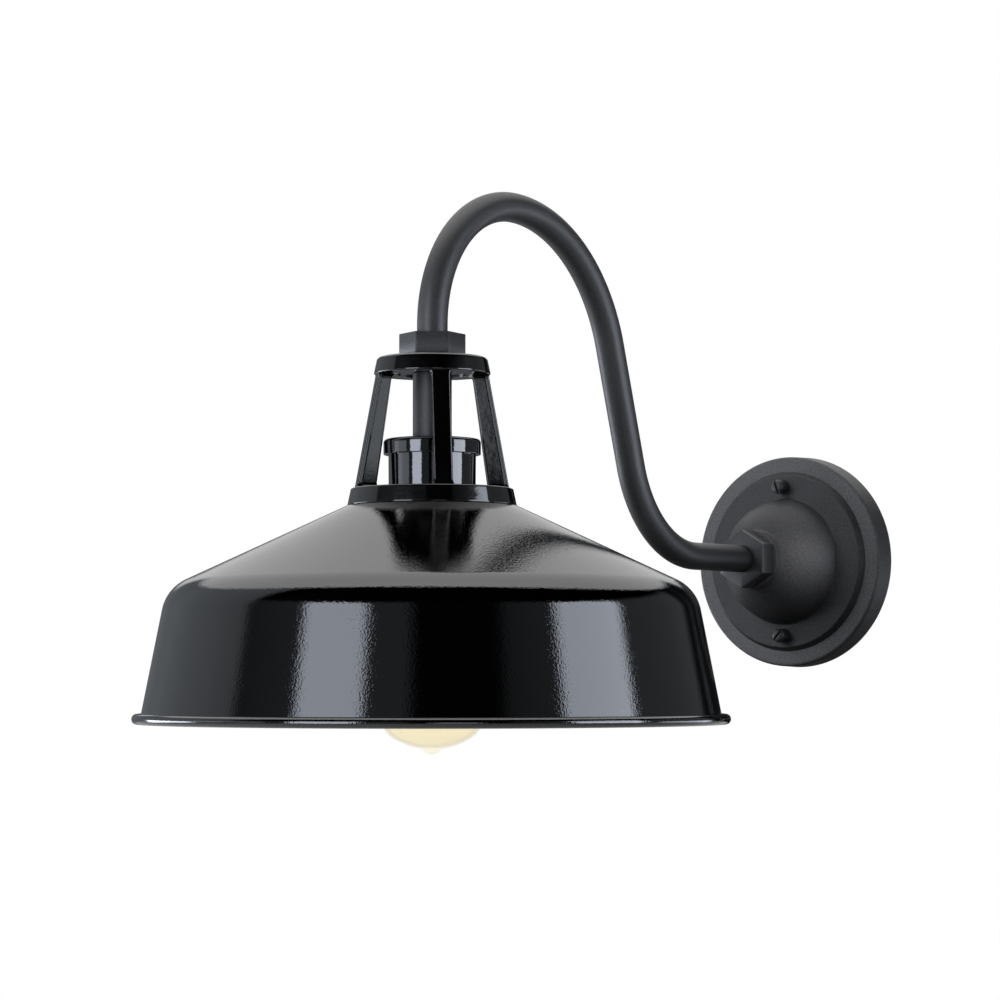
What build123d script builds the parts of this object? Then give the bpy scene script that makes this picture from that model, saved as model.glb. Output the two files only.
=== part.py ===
from build123d import *
import math
import os

# A gooseneck wall light with a spun shade. The wall is the plane Y = 0 and the light
# stands out from it along -Y, with +Z up. The origin is the plate's centre on the wall.
# All sizes are in millimetres.

os.makedirs("parts", exist_ok=True)

# Fits
running_gap = 0.3
bore_gap = 0.1
screw_end_gap = 0.5

# Back plate
plate_radius = 74.4
plate_draft = 0.6
plate_depth = 17.0
plate_wall = 4.0
plate_web = 4.0
plate_edge_round = 2.0

# Gasket in the back of the plate
gasket_width = 3.0
gasket_depth = 2.0
gasket_margin = 2.9
gasket_floor = 3.0

# Canopy
canopy_radius = 60.5
canopy_draft = 2.8
canopy_flange = 4.5
canopy_edge_round = 1.0
canopy_wall = 4.0
dome_radius = 44.2
dome_root_round = 1.5
boss_radius = 20.0
boss_root_round = 3.0
boss_proud = 1.3
boss_length = 10.5

# Canopy screws
canopy_screw_radius = 2.1
canopy_screw_head_radius = 5.0
canopy_screw_head_height = 10.0
canopy_screw_head_round = 3.0
canopy_screw_slot_width = 1.6
canopy_screw_slot_depth = 2.0
top_screw_turn = 21.0
bottom_screw_turn = -42.0

# Mounting strap
strap_width = 19.0
strap_thickness = 2.5
strap_corner_round = 4.8
strap_end_margin = 6.3
box_screw_spacing = 79.4
box_slot_length = 15.0
box_slot_width = 5.0
strap_wire_hole_radius = 5.5
ground_screw_height = 15.0
ground_screw_radius = 2.0
ground_screw_head_radius = 4.0
ground_screw_head_height = 3.0
ground_screw_head_round = 0.8

# Gooseneck tube
tube_radius = 9.25
tube_wall = 1.8
arm_reach = 420.0
arm_rise = 211.0
rise_angle = 73.0
lower_bend_radius = 79.5
upper_bend_radius = 109.5
crook_radius = 81.0
bare_drop = 5.6
arm_tail = 5.0

# Large hexagon nuts at the two ends of the tube
hex_across = 34.7
hex_height = 14.3
wall_hex_turn = 90.0
cage_hex_turn = -22.0

# Tube fixings inside the dome
lock_washer_radius = 15.0
lock_washer_thickness = 1.0
lock_nut_across = 30.0
lock_nut_height = 4.0
bushing_bore_radius = 4.5
bushing_flange = 1.5
bushing_length = 7.0

# Cage
cage_height = 89.1
cap_radius = 35.2
cap_draft = 2.2
cap_height = 10.4
cap_plate = 9.4
cap_recess_radius = 21.5
cap_edge_round = 2.4
ring_radius = 50.8
ring_draft = 2.2
ring_height = 10.3
ring_inner_radius = 33.5
ring_edge_round = 1.0
strut_count = 4
strut_start_angle = 47.0
strut_flange_width = 11.4
strut_flange_depth = 3.0
strut_web_width = 7.6
strut_top_depth = 9.0
strut_foot_depth = 12.0
strut_top_inset = 1.5
strut_foot_inset = 2.4
strut_edge_round = 1.2
strut_sink = 3.0

# Stem and nipple
sleeve_radius = 11.7
sleeve_length = 39.7
sleeve_socket_depth = 9.7
nipple_radius = 5.0
nipple_wall = 1.5
nipple_engagement = 11.0
nipple_tail = 2.0
nipple_nut_across = 17.0
nipple_nut_height = 4.0

# Lid and cup
lid_radius = 29.2
lid_height = 9.5
lid_plate = 3.0
lid_edge_round = 2.4
lid_gasket_width = 4.0
lid_gasket_thickness = 1.0
cup_radius = 26.3
cup_draft = 0.5
cup_wall = 1.8
cup_length = 64.0

# Lampholder
bracket_sheet = 2.0
bracket_half_span = 17.0
bracket_width = 12.0
bracket_height = 26.0
bracket_foot_length = 9.0
bracket_screw_radius = 1.6
bracket_screw_length = 8.0
bracket_screw_head_radius = 3.0
bracket_screw_head_height = 2.2
bracket_screw_head_round = 0.7
holder_radius = 19.0
holder_height = 36.0
holder_roof = 11.0
holder_edge_round = 1.5
holder_shell_wall = 0.6
holder_shell_length = 23.0
holder_shell_mouth_radius = 6.0
contact_drop = 3.3
contact_radius = 4.0
contact_thickness = 1.0
contact_rivet_radius = 2.0
contact_rivet_length = 4.0
terminal_offset = 13.0
terminal_radius = 1.8
terminal_length = 6.0
terminal_head_radius = 3.4
terminal_head_height = 2.0
terminal_head_round = 0.5

# Shade
sheet = 1.2
shade_radius = 178.0
bead_radius = 3.1
shade_neck_radius = 34.0
shade_neck_round = 1.5
shade_slope = 25.0
shoulder_radius = 158.0
shoulder_round = 20.0
shade_depth = 127.2

# Shade clamp
clamp_inner_radius = 35.0
clamp_outer_radius = 46.5
clamp_thickness = 2.0
shade_screw_circle = 41.0
shade_screw_radius = 1.9
shade_screw_reach = 9.0
shade_screw_head_radius = 3.6
shade_screw_head_height = 2.5
shade_screw_head_round = 0.8

# Bulb
bulb_length = 140.8
bulb_radius = 30.0
bulb_wall = 1.0
bulb_shoulder_radius = 14.0
bulb_end_radius = 36.0
bulb_pip_radius = 2.6
bulb_pip_height = 1.9
bulb_pip_flare = 7.0
base_radius = 13.1
base_wall = 0.5
base_height = 22.5
base_crown_height = 4.0
base_crown_radius = 8.5
insulator_height = 2.2
bulb_contact_radius = 4.8
bulb_contact_height = 1.7
bulb_contact_round = 0.8
neck_gap = 0.2
neck_insert = 5.0

# Filament and its mount
mount_flare_thickness = 1.4
mount_cone_height = 14.0
mount_tube_radius = 3.5
mount_tube_length = 30.0
mount_rod_radius = 1.25
filament_strands = 8
filament_step_angle = 42.0
filament_wire_radius = 0.35
filament_bend_radius = 1.2
filament_top_radius = 5.5
filament_end_radius = 11.5
filament_height = 56.0
filament_drop = 8.0
support_hub_width = 1.0
support_hub_height = 1.6
support_wire_radius = 0.3

# Places along the wall axis, measured out from the wall
web_back = plate_depth - plate_web
flange_face = plate_depth + canopy_flange
boss_face = plate_depth + dome_radius + boss_proud
boss_back = boss_face - boss_length
washer_back = boss_back - lock_washer_thickness
lock_nut_back = washer_back - lock_nut_height
arm_start = lock_nut_back - arm_tail
canopy_screw_circle = (dome_radius + canopy_radius) / 2

# Places along the lamp axis, measured as heights from the top of the stack downwards
hex_bottom = arm_rise - crook_radius - bare_drop - hex_height
cage_top = hex_bottom
cap_plate_bottom = cage_top - cap_plate
cap_bottom = cage_top - cap_height
cage_bottom = cage_top - cage_height
ring_top = cage_bottom + ring_height
arm_end = cap_plate_bottom - sleeve_socket_depth
lid_top = cap_plate_bottom - sleeve_length
lid_plate_bottom = lid_top - lid_plate
cup_top = lid_plate_bottom - lid_gasket_thickness
cup_bottom = cup_top - cup_length
bracket_top = lid_plate_bottom - nipple_nut_height
lower_nut_top = bracket_top - bracket_sheet
nipple_top = lid_top + nipple_engagement
lower_nut_bottom = lower_nut_top - nipple_nut_height
nipple_bottom = lower_nut_bottom - nipple_tail
holder_top = bracket_top - bracket_height
holder_bottom = holder_top - holder_height
shell_top = holder_top - holder_roof
contact_face = shell_top - contact_drop
shade_top = cage_bottom
neck_bottom = shade_top - sheet
clamp_bottom = neck_bottom - clamp_thickness
bulb_top = contact_face - running_gap
bulb_tip = bulb_top - bulb_length
insulator_top = bulb_top - bulb_contact_height
base_top = insulator_top - insulator_height
base_rim = base_top - base_height
neck_radius = base_radius - base_wall - neck_gap
neck_top = base_rim + neck_insert

# Axes and sketch planes
wall_axis = Axis((0, 0, 0), (0, -1, 0))
lamp_axis = Axis((0, -arm_reach, 0), (0, 0, 1))
wall_section = Plane(origin=(0, 0, 0), x_dir=(1, 0, 0), z_dir=(0, 0, -1))
arm_section = Plane(origin=(0, 0, 0), x_dir=(0, -1, 0), z_dir=(-1, 0, 0))
lamp_section = Plane.XZ.offset(arm_reach)


def wall_level(distance):
    """Plane parallel to the wall, facing away from it."""
    return Plane.XZ.offset(distance)


def lamp_level(height):
    """Level plane on the lamp axis, facing up."""
    return Plane(origin=(0, -arm_reach, height), x_dir=(1, 0, 0), z_dir=(0, 0, 1))


def corner(profile, point):
    """Corner of a profile nearest to a point given in its own plane."""
    return profile.vertices().sort_by_distance(point)[0]


def hex_nut(plane, across, height, bore_radius, turn=0.0):
    """Plain hexagon nut standing on a plane."""
    with BuildPart() as nut:
        with BuildSketch(plane):
            RegularPolygon(across / 2, 6, major_radius=False, rotation=turn)
            Circle(bore_radius, mode=Mode.SUBTRACT)
        extrude(amount=height)
    return nut.part


def washer(plane, outer_radius, inner_radius, height):
    """Flat ring standing on a plane."""
    with BuildPart() as ring:
        with BuildSketch(plane):
            Circle(outer_radius)
            Circle(inner_radius, mode=Mode.SUBTRACT)
        extrude(amount=height)
    return ring.part


def screw(plane, head_radius, head_height, shank_radius, shank_length, head_round):
    """Round-head screw whose head stands on a plane, with its shank below."""
    with BuildPart() as fastener:
        with BuildSketch(plane):
            Circle(head_radius)
        extrude(amount=head_height)
        far_edges = fastener.edges().filter_by(GeomType.CIRCLE)
        fillet(far_edges.sort_by(Axis(plane.origin, plane.z_dir))[-1], radius=head_round)
        with BuildSketch(plane):
            Circle(shank_radius)
        extrude(amount=-shank_length)
    return fastener.part


# Back plate: a dished casting whose rim meets the wall
lip_inner_radius = plate_radius - gasket_width - 2 * gasket_margin
lip_depth = gasket_depth + gasket_floor
plate_inner_radius = plate_radius - plate_wall
plate_opening = dome_radius + bore_gap
gasket_outer = plate_radius - gasket_margin
gasket_inner = gasket_outer - gasket_width
with BuildPart() as back_plate:
    with BuildSketch(wall_section) as plate_profile:
        with BuildLine():
            Polyline(
                (lip_inner_radius, 0),
                (plate_radius, 0),
                (plate_radius - plate_draft, plate_depth),
                (plate_opening, plate_depth),
                (plate_opening, web_back),
                (plate_inner_radius, web_back),
                (plate_inner_radius, lip_depth),
                (lip_inner_radius, lip_depth),
                close=True,
            )
        make_face()
        fillet(corner(plate_profile, (plate_radius - plate_draft, plate_depth)), radius=plate_edge_round)
    revolve(axis=wall_axis)
    with BuildSketch(wall_level(0)):
        Circle(gasket_outer + bore_gap)
        Circle(gasket_inner - bore_gap, mode=Mode.SUBTRACT)
    extrude(amount=gasket_depth, mode=Mode.SUBTRACT)
    with BuildSketch(wall_level(web_back)):
        with PolarLocations(canopy_screw_circle, 2, start_angle=90):
            Circle(canopy_screw_radius + bore_gap)
    extrude(amount=plate_web, mode=Mode.SUBTRACT)

# Rubber gasket, level with the wall
with BuildPart() as wall_gasket:
    add(washer(wall_level(0), gasket_outer, gasket_inner, gasket_depth))

# Canopy: raised flange, hollow dome and a boss for the tube, as one casting
flange_root = math.sqrt(dome_radius**2 - canopy_flange**2)
boss_root = plate_depth + math.sqrt(dome_radius**2 - boss_radius**2)
cavity_radius = dome_radius - canopy_wall
cavity_boss_root = plate_depth + math.sqrt(cavity_radius**2 - boss_radius**2)
tube_hole = tube_radius + bore_gap
with BuildPart() as canopy:
    with BuildSketch(wall_section) as canopy_profile:
        with BuildLine():
            Polyline(
                (cavity_radius, plate_depth),
                (cavity_radius, web_back),
                (dome_radius, web_back),
                (dome_radius, plate_depth),
                (canopy_radius + canopy_draft, plate_depth),
                (canopy_radius, flange_face),
                (flange_root, flange_face),
            )
            RadiusArc((flange_root, flange_face), (boss_radius, boss_root), -dome_radius)
            Polyline(
                (boss_radius, boss_root),
                (boss_radius, boss_face),
                (tube_hole, boss_face),
                (tube_hole, boss_back),
                (boss_radius, boss_back),
                (boss_radius, cavity_boss_root),
            )
            RadiusArc((boss_radius, cavity_boss_root), (cavity_radius, plate_depth), cavity_radius)
        make_face()
        fillet(corner(canopy_profile, (flange_root, flange_face)), radius=dome_root_round)
        fillet(corner(canopy_profile, (canopy_radius, flange_face)), radius=canopy_edge_round)
        fillet(corner(canopy_profile, (boss_radius, boss_root)), radius=boss_root_round)
    revolve(axis=wall_axis)
    with BuildSketch(wall_level(plate_depth)):
        with PolarLocations(canopy_screw_circle, 2, start_angle=90):
            Circle(canopy_screw_radius + bore_gap)
    extrude(amount=canopy_flange, mode=Mode.SUBTRACT)

# Mounting strap: a flat bar on the wall, slotted for the electrical box
strap_half = canopy_screw_circle + strap_end_margin
with BuildPart() as mounting_strap:
    with BuildSketch(wall_level(0)):
        RectangleRounded(strap_width, 2 * strap_half, strap_corner_round)
        Circle(strap_wire_hole_radius, mode=Mode.SUBTRACT)
        with Locations((0, ground_screw_height)):
            Circle(ground_screw_radius + bore_gap, mode=Mode.SUBTRACT)
        with PolarLocations(canopy_screw_circle, 2, start_angle=90):
            Circle(canopy_screw_radius + bore_gap, mode=Mode.SUBTRACT)
        with PolarLocations(box_screw_spacing / 2, 2, start_angle=90):
            SlotOverall(box_slot_length, box_slot_width, mode=Mode.SUBTRACT)
    extrude(amount=strap_thickness)

# Canopy screws: slotted round heads on the flange, tapped into the strap
canopy_screw_length = flange_face - screw_end_gap
with BuildPart() as canopy_screws:
    for side, turn in ((1, top_screw_turn), (-1, bottom_screw_turn)):
        head_center = (0, -flange_face, side * canopy_screw_circle)
        seat = Plane(origin=head_center, x_dir=(1, 0, 0), z_dir=(0, -1, 0))
        add(
            screw(
                seat,
                canopy_screw_head_radius,
                canopy_screw_head_height,
                canopy_screw_radius,
                canopy_screw_length,
                canopy_screw_head_round,
            )
        )
        with BuildSketch(seat.offset(canopy_screw_head_height)):
            Rectangle(canopy_screw_slot_width, 2 * canopy_screw_head_radius, rotation=turn)
        extrude(amount=-canopy_screw_slot_depth, mode=Mode.SUBTRACT)

# Earth screw on the strap
ground_center = (0, -strap_thickness, ground_screw_height)
ground_seat = Plane(origin=ground_center, x_dir=(1, 0, 0), z_dir=(0, -1, 0))
with BuildPart() as ground_screw:
    add(
        screw(
            ground_seat,
            ground_screw_head_radius,
            ground_screw_head_height,
            ground_screw_radius,
            strap_thickness - screw_end_gap,
            ground_screw_head_round,
        )
    )

# Hexagon nut on the boss, and the washer, nut and bush inside the dome
with BuildPart() as wall_hex_nut:
    add(hex_nut(wall_level(boss_face), hex_across, hex_height, tube_hole, wall_hex_turn))

with BuildPart() as arm_lock_washer:
    add(washer(wall_level(washer_back), lock_washer_radius, tube_hole, lock_washer_thickness))

with BuildPart() as arm_lock_nut:
    add(hex_nut(wall_level(lock_nut_back), lock_nut_across, lock_nut_height, tube_hole))

bore_radius = tube_radius - tube_wall
with BuildPart() as wire_bushing:
    with BuildSketch(wall_section):
        with BuildLine():
            Polyline(
                (bushing_bore_radius, arm_start - bushing_flange),
                (tube_radius, arm_start - bushing_flange),
                (tube_radius, arm_start),
                (bore_radius - bore_gap, arm_start),
                (bore_radius - bore_gap, arm_start + bushing_length),
                (bushing_bore_radius, arm_start + bushing_length),
                close=True,
            )
        make_face()
    revolve(axis=wall_axis)

# Gooseneck: a level run, a bend upwards, a riser, and an arch of two radii down into the cage
turn_sine = math.sin(math.radians(rise_angle))
turn_cosine = math.cos(math.radians(rise_angle))
bends_rise = (lower_bend_radius + upper_bend_radius) * (1 - turn_cosine)
riser_length = (arm_rise - bends_rise) / turn_sine
bends_reach = (lower_bend_radius + upper_bend_radius) * turn_sine + riser_length * turn_cosine
wall_run_end = arm_reach - crook_radius - bends_reach
with BuildLine(arm_section) as arm_path:
    wall_run = Line((arm_start, 0), (wall_run_end, 0))
    lower_bend = JernArc(wall_run @ 1, wall_run % 1, lower_bend_radius, rise_angle)
    riser = PolarLine(lower_bend @ 1, riser_length, direction=lower_bend % 1)
    upper_bend = JernArc(riser @ 1, riser % 1, upper_bend_radius, -rise_angle)
    crook = JernArc(upper_bend @ 1, upper_bend % 1, crook_radius, -90)
    drop = PolarLine(crook @ 1, arm_rise - crook_radius - arm_end, direction=crook % 1)
with BuildPart() as gooseneck_arm:
    with BuildSketch(wall_level(arm_start)):
        Circle(tube_radius)
        Circle(bore_radius, mode=Mode.SUBTRACT)
    sweep(path=arm_path.wires()[0])

# Hexagon nut on top of the cage
with BuildPart() as cage_hex_nut:
    add(hex_nut(lamp_level(hex_bottom), hex_across, hex_height, tube_hole, cage_hex_turn))


def strut_outer_radius(height):
    """Radius of a strut's outer face, which leans out from the cap to the ring."""
    top_radius = cap_radius - strut_top_inset
    foot_radius = ring_radius - ring_draft - strut_foot_inset
    fall = (cap_bottom - height) / (cap_bottom - ring_top)
    return top_radius + (foot_radius - top_radius) * fall


def strut_section(height):
    """T-section of a strut, cut level, with its flange outside and its web inside."""
    fall = (cap_bottom - height) / (cap_bottom - ring_top)
    outer = strut_outer_radius(height)
    shoulder = outer - strut_flange_depth
    inner = outer - strut_top_depth - (strut_foot_depth - strut_top_depth) * fall
    half_flange = strut_flange_width / 2
    half_web = strut_web_width / 2
    with BuildSketch(Plane.XY.offset(height)) as section:
        with BuildLine():
            Polyline(
                (outer, -half_flange),
                (outer, half_flange),
                (shoulder, half_flange),
                (shoulder, half_web),
                (inner, half_web),
                (inner, -half_web),
                (shoulder, -half_web),
                (shoulder, -half_flange),
                close=True,
            )
        make_face()
        for side in (-half_flange, half_flange):
            fillet(corner(section, (outer, side)), radius=strut_edge_round)
    return section.sketch


# One strut of the cage, on its own axis
with BuildPart() as strut:
    loft([strut_section(ring_top - strut_sink), strut_section(cap_bottom + strut_sink)], ruled=True)

# Cage: cap, struts and base ring as one casting
cap_top_radius = cap_radius - cap_draft
ring_top_radius = ring_radius - ring_draft
with BuildPart(lamp_level(0)) as shade_cage:
    with BuildSketch(lamp_section) as cap_profile:
        with BuildLine():
            Polyline(
                (tube_hole, cap_plate_bottom),
                (tube_hole, cage_top),
                (cap_top_radius, cage_top),
                (cap_radius, cap_bottom),
                (cap_recess_radius, cap_bottom),
                (cap_recess_radius, cap_plate_bottom),
                close=True,
            )
        make_face()
        fillet(corner(cap_profile, (cap_top_radius, cage_top)), radius=cap_edge_round)
    with BuildSketch(lamp_section) as ring_profile:
        with BuildLine():
            Polyline(
                (ring_inner_radius, cage_bottom),
                (ring_radius, cage_bottom),
                (ring_top_radius, ring_top),
                (ring_inner_radius, ring_top),
                close=True,
            )
        make_face()
        fillet(corner(ring_profile, (ring_top_radius, ring_top)), radius=ring_edge_round)
    revolve(axis=lamp_axis)
    with PolarLocations(0, strut_count, start_angle=strut_start_angle):
        add(strut.part)
    with BuildSketch(lamp_level(cage_bottom)):
        with PolarLocations(shade_screw_circle, strut_count, start_angle=strut_start_angle):
            Circle(shade_screw_radius + bore_gap)
    extrude(amount=shade_screw_reach, mode=Mode.SUBTRACT)

# Stem sleeve: takes the tube at the top and the nipple at the bottom
nipple_hole = nipple_radius + bore_gap
with BuildPart() as stem_sleeve:
    with BuildSketch(lamp_level(lid_top)):
        Circle(sleeve_radius)
        Circle(nipple_hole, mode=Mode.SUBTRACT)
    extrude(amount=sleeve_length)
    with BuildSketch(lamp_level(arm_end)):
        Circle(tube_hole)
    extrude(amount=sleeve_socket_depth, mode=Mode.SUBTRACT)

# Nipple: carries the lid, the bracket and their nuts
nipple_length = nipple_top - nipple_bottom
nipple_bore = nipple_radius - nipple_wall
with BuildPart() as socket_nipple:
    add(washer(lamp_level(nipple_bottom), nipple_radius, nipple_bore, nipple_length))

with BuildPart() as nipple_lock_nuts:
    for level in (bracket_top, lower_nut_bottom):
        add(hex_nut(lamp_level(level), nipple_nut_across, nipple_nut_height, nipple_hole))

# Lid of the socket cup
lid_inner_radius = cup_radius + bore_gap
lid_bottom = lid_top - lid_height
with BuildPart() as cup_lid:
    with BuildSketch(lamp_section) as lid_profile:
        with BuildLine():
            Polyline(
                (nipple_hole, lid_plate_bottom),
                (nipple_hole, lid_top),
                (lid_radius, lid_top),
                (lid_radius, lid_bottom),
                (lid_inner_radius, lid_bottom),
                (lid_inner_radius, lid_plate_bottom),
                close=True,
            )
        make_face()
        fillet(corner(lid_profile, (lid_radius, lid_top)), radius=lid_edge_round)
    revolve(axis=lamp_axis)

with BuildPart() as lid_gasket:
    add(washer(lamp_level(cup_top), cup_radius, cup_radius - lid_gasket_width, lid_gasket_thickness))

# Socket cup: a slightly tapered tube, open below
cup_end_radius = cup_radius - cup_draft
with BuildPart() as socket_cup:
    with BuildSketch(lamp_section):
        with BuildLine():
            Polyline(
                (cup_radius - cup_wall, cup_top),
                (cup_radius, cup_top),
                (cup_end_radius, cup_bottom),
                (cup_end_radius - cup_wall, cup_bottom),
                close=True,
            )
        make_face()
    revolve(axis=lamp_axis)

# Bracket: a bent strip from the nipple down to the lampholder
foot_inner = bracket_half_span - bracket_foot_length
foot_top = holder_top + bracket_sheet
bracket_screw_offset = bracket_half_span - bracket_sheet - bracket_screw_head_radius
leg_inner = bracket_half_span - bracket_sheet
with BuildPart() as socket_bracket:
    with BuildSketch(lamp_section):
        with BuildLine():
            Polyline(
                (0, bracket_top),
                (bracket_half_span, bracket_top),
                (bracket_half_span, holder_top),
                (foot_inner, holder_top),
                (foot_inner, foot_top),
                (leg_inner, foot_top),
                (leg_inner, lower_nut_top),
                (0, lower_nut_top),
            )
            mirror(about=Plane.YZ)
        make_face()
    extrude(amount=bracket_width / 2, both=True)
    with BuildSketch(lamp_level(lower_nut_top)):
        Circle(nipple_hole)
    extrude(amount=bracket_sheet, mode=Mode.SUBTRACT)
    with BuildSketch(lamp_level(holder_top)):
        with PolarLocations(bracket_screw_offset, 2):
            Circle(bracket_screw_radius + bore_gap)
    extrude(amount=bracket_sheet, mode=Mode.SUBTRACT)

with BuildPart() as bracket_screws:
    for side in (1, -1):
        add(
            screw(
                Plane(origin=(side * bracket_screw_offset, -arm_reach, foot_top)),
                bracket_screw_head_radius - bore_gap,
                bracket_screw_head_height,
                bracket_screw_radius,
                bracket_sheet + bracket_screw_length,
                bracket_screw_head_round,
            )
        )

# Lampholder: porcelain body, metal shell, centre contact and terminal screws
shell_inner_radius = base_radius + running_gap
shell_outer_radius = shell_inner_radius + holder_shell_wall
with BuildPart() as lampholder_body:
    with BuildSketch(lamp_level(holder_bottom)):
        Circle(holder_radius)
    extrude(amount=holder_height)
    rims = lampholder_body.edges().filter_by(GeomType.CIRCLE)
    fillet(rims, radius=holder_edge_round)
    with BuildSketch(lamp_level(holder_bottom)):
        Circle(shell_outer_radius + bore_gap)
    extrude(amount=holder_height - holder_roof, mode=Mode.SUBTRACT)
    with BuildSketch(lamp_level(holder_top)):
        with PolarLocations(bracket_screw_offset, 2):
            Circle(bracket_screw_radius + bore_gap)
    extrude(amount=-bracket_screw_length - bore_gap, mode=Mode.SUBTRACT)
    with BuildSketch(lamp_level(holder_top)):
        with PolarLocations(terminal_offset, 2, start_angle=90):
            Circle(terminal_radius + bore_gap)
    extrude(amount=-terminal_length - bore_gap, mode=Mode.SUBTRACT)
    with BuildSketch(lamp_level(shell_top)):
        Circle(contact_rivet_radius + bore_gap)
    extrude(amount=contact_rivet_length + bore_gap, mode=Mode.SUBTRACT)

with BuildPart() as lampholder_shell:
    with BuildSketch(lamp_section):
        with BuildLine():
            Polyline(
                (holder_shell_mouth_radius, shell_top),
                (shell_outer_radius, shell_top),
                (shell_outer_radius, shell_top - holder_shell_length),
                (shell_inner_radius, shell_top - holder_shell_length),
                (shell_inner_radius, shell_top - holder_shell_wall),
                (holder_shell_mouth_radius, shell_top - holder_shell_wall),
                close=True,
            )
        make_face()
    revolve(axis=lamp_axis)

with BuildPart() as lampholder_contact:
    with BuildSketch(lamp_level(contact_face)):
        Circle(contact_radius)
    extrude(amount=contact_thickness)
    with BuildSketch(lamp_level(contact_face + contact_thickness)):
        Circle(contact_rivet_radius)
    extrude(amount=contact_drop - contact_thickness + contact_rivet_length)

with BuildPart() as terminal_screws:
    for side in (1, -1):
        add(
            screw(
                Plane(origin=(0, side * terminal_offset - arm_reach, holder_top)),
                terminal_head_radius,
                terminal_head_height,
                terminal_radius,
                terminal_length,
                terminal_head_round,
            )
        )

# Shade: flat neck, cone, rounded shoulder, slanted drum and a rolled rim
bead_circle = shade_radius - bead_radius
bead_height = shade_top - shade_depth
drum_end_radius = shade_radius - 2 * bead_radius + sheet
shoulder_height = shade_top - (shoulder_radius - ring_radius) * math.tan(math.radians(shade_slope))
with BuildPart() as shade:
    with BuildSketch(lamp_section):
        with BuildLine():
            FilletPolyline(
                (shade_neck_radius, shade_top),
                (ring_radius, shade_top),
                (shoulder_radius, shoulder_height),
                (drum_end_radius, bead_height),
                radius=[shade_neck_round, shoulder_round],
            )
            offset(amount=sheet, side=Side.RIGHT)
        make_face()
        with Locations((bead_circle, bead_height)):
            Circle(bead_radius)
    revolve(axis=lamp_axis)
    with BuildSketch(lamp_level(neck_bottom)):
        with PolarLocations(shade_screw_circle, strut_count, start_angle=strut_start_angle):
            Circle(shade_screw_radius + bore_gap)
    extrude(amount=sheet, mode=Mode.SUBTRACT)

# Clamp ring and screws that hold the shade's neck against the cage
with BuildPart() as shade_clamp_ring:
    with BuildSketch(lamp_level(clamp_bottom)):
        Circle(clamp_outer_radius)
        Circle(clamp_inner_radius, mode=Mode.SUBTRACT)
        with PolarLocations(shade_screw_circle, strut_count, start_angle=strut_start_angle):
            Circle(shade_screw_radius + bore_gap, mode=Mode.SUBTRACT)
    extrude(amount=clamp_thickness)

shade_screw_length = clamp_thickness + sheet + shade_screw_reach - bore_gap
with BuildPart() as shade_screws:
    for place in PolarLocations(shade_screw_circle, strut_count, start_angle=strut_start_angle):
        spot = place.position
        add(
            screw(
                Plane(origin=(spot.X, spot.Y - arm_reach, clamp_bottom), z_dir=(0, 0, -1)),
                shade_screw_head_radius,
                shade_screw_head_height,
                shade_screw_radius,
                shade_screw_length,
                shade_screw_head_round,
            )
        )

# Bulb glass: a long taper, a round shoulder and a bowl that runs out into a sealed pip
shoulder_circle = bulb_radius - bulb_shoulder_radius
end_offset = math.sqrt((bulb_end_radius - bulb_shoulder_radius) ** 2 - shoulder_circle**2)
end_center = bulb_tip + bulb_pip_height + bulb_end_radius
shoulder_center = end_center - end_offset
end_angle = math.degrees(math.atan2(-end_offset, shoulder_circle))
neck_to_shoulder = Vector(shoulder_circle - neck_radius, shoulder_center - base_rim)
taper_angle = math.degrees(
    math.atan2(neck_to_shoulder.Y, neck_to_shoulder.X)
    + math.acos(-bulb_shoulder_radius / neck_to_shoulder.length)
)

# The hollow curve between bowl and pip touches both of their circles
pip_center = bulb_tip + bulb_pip_radius
bowl_reach = bulb_end_radius + bulb_pip_flare
pip_reach = bulb_pip_radius + bulb_pip_flare
center_gap = end_center - pip_center
hollow_drop = (bowl_reach**2 - pip_reach**2 - center_gap**2) / (2 * center_gap)
hollow_center = Vector(math.sqrt(pip_reach**2 - hollow_drop**2), pip_center - hollow_drop)
bowl_foot = math.degrees(math.atan2(hollow_center.Y - end_center, hollow_center.X))
pip_root = math.degrees(math.atan2(-hollow_drop, hollow_center.X))


def bulb_outline(inset, has_pip):
    """Half outline of the bulb, drawn inside its outer face by the inset."""
    shoulder = bulb_shoulder_radius - inset
    bowl = bulb_end_radius - inset
    neck = neck_radius - inset
    with BuildSketch(lamp_section) as outline:
        with BuildLine():
            shoulder_arc = CenterArc(
                (shoulder_circle, shoulder_center), shoulder, taper_angle, end_angle - taper_angle
            )
            if has_pip:
                CenterArc((0, end_center), bowl, end_angle, bowl_foot - end_angle)
                CenterArc(hollow_center, bulb_pip_flare, bowl_foot + 180, pip_root - bowl_foot)
                foot = CenterArc((0, pip_center), bulb_pip_radius, pip_root, -90 - pip_root)
            else:
                foot = CenterArc((0, end_center), bowl, end_angle, -90 - end_angle)
            side = shoulder_arc @ 0
            bend = side.Y + (side.X - neck) / math.tan(math.radians(taper_angle))
            Polyline(side, (neck, bend), (neck, neck_top), (0, neck_top), foot @ 1)
        make_face()
    return outline.sketch


with BuildPart() as bulb_glass:
    revolve(bulb_outline(0, True), axis=lamp_axis)
    revolve(bulb_outline(bulb_wall, False), axis=lamp_axis, mode=Mode.SUBTRACT)

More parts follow.
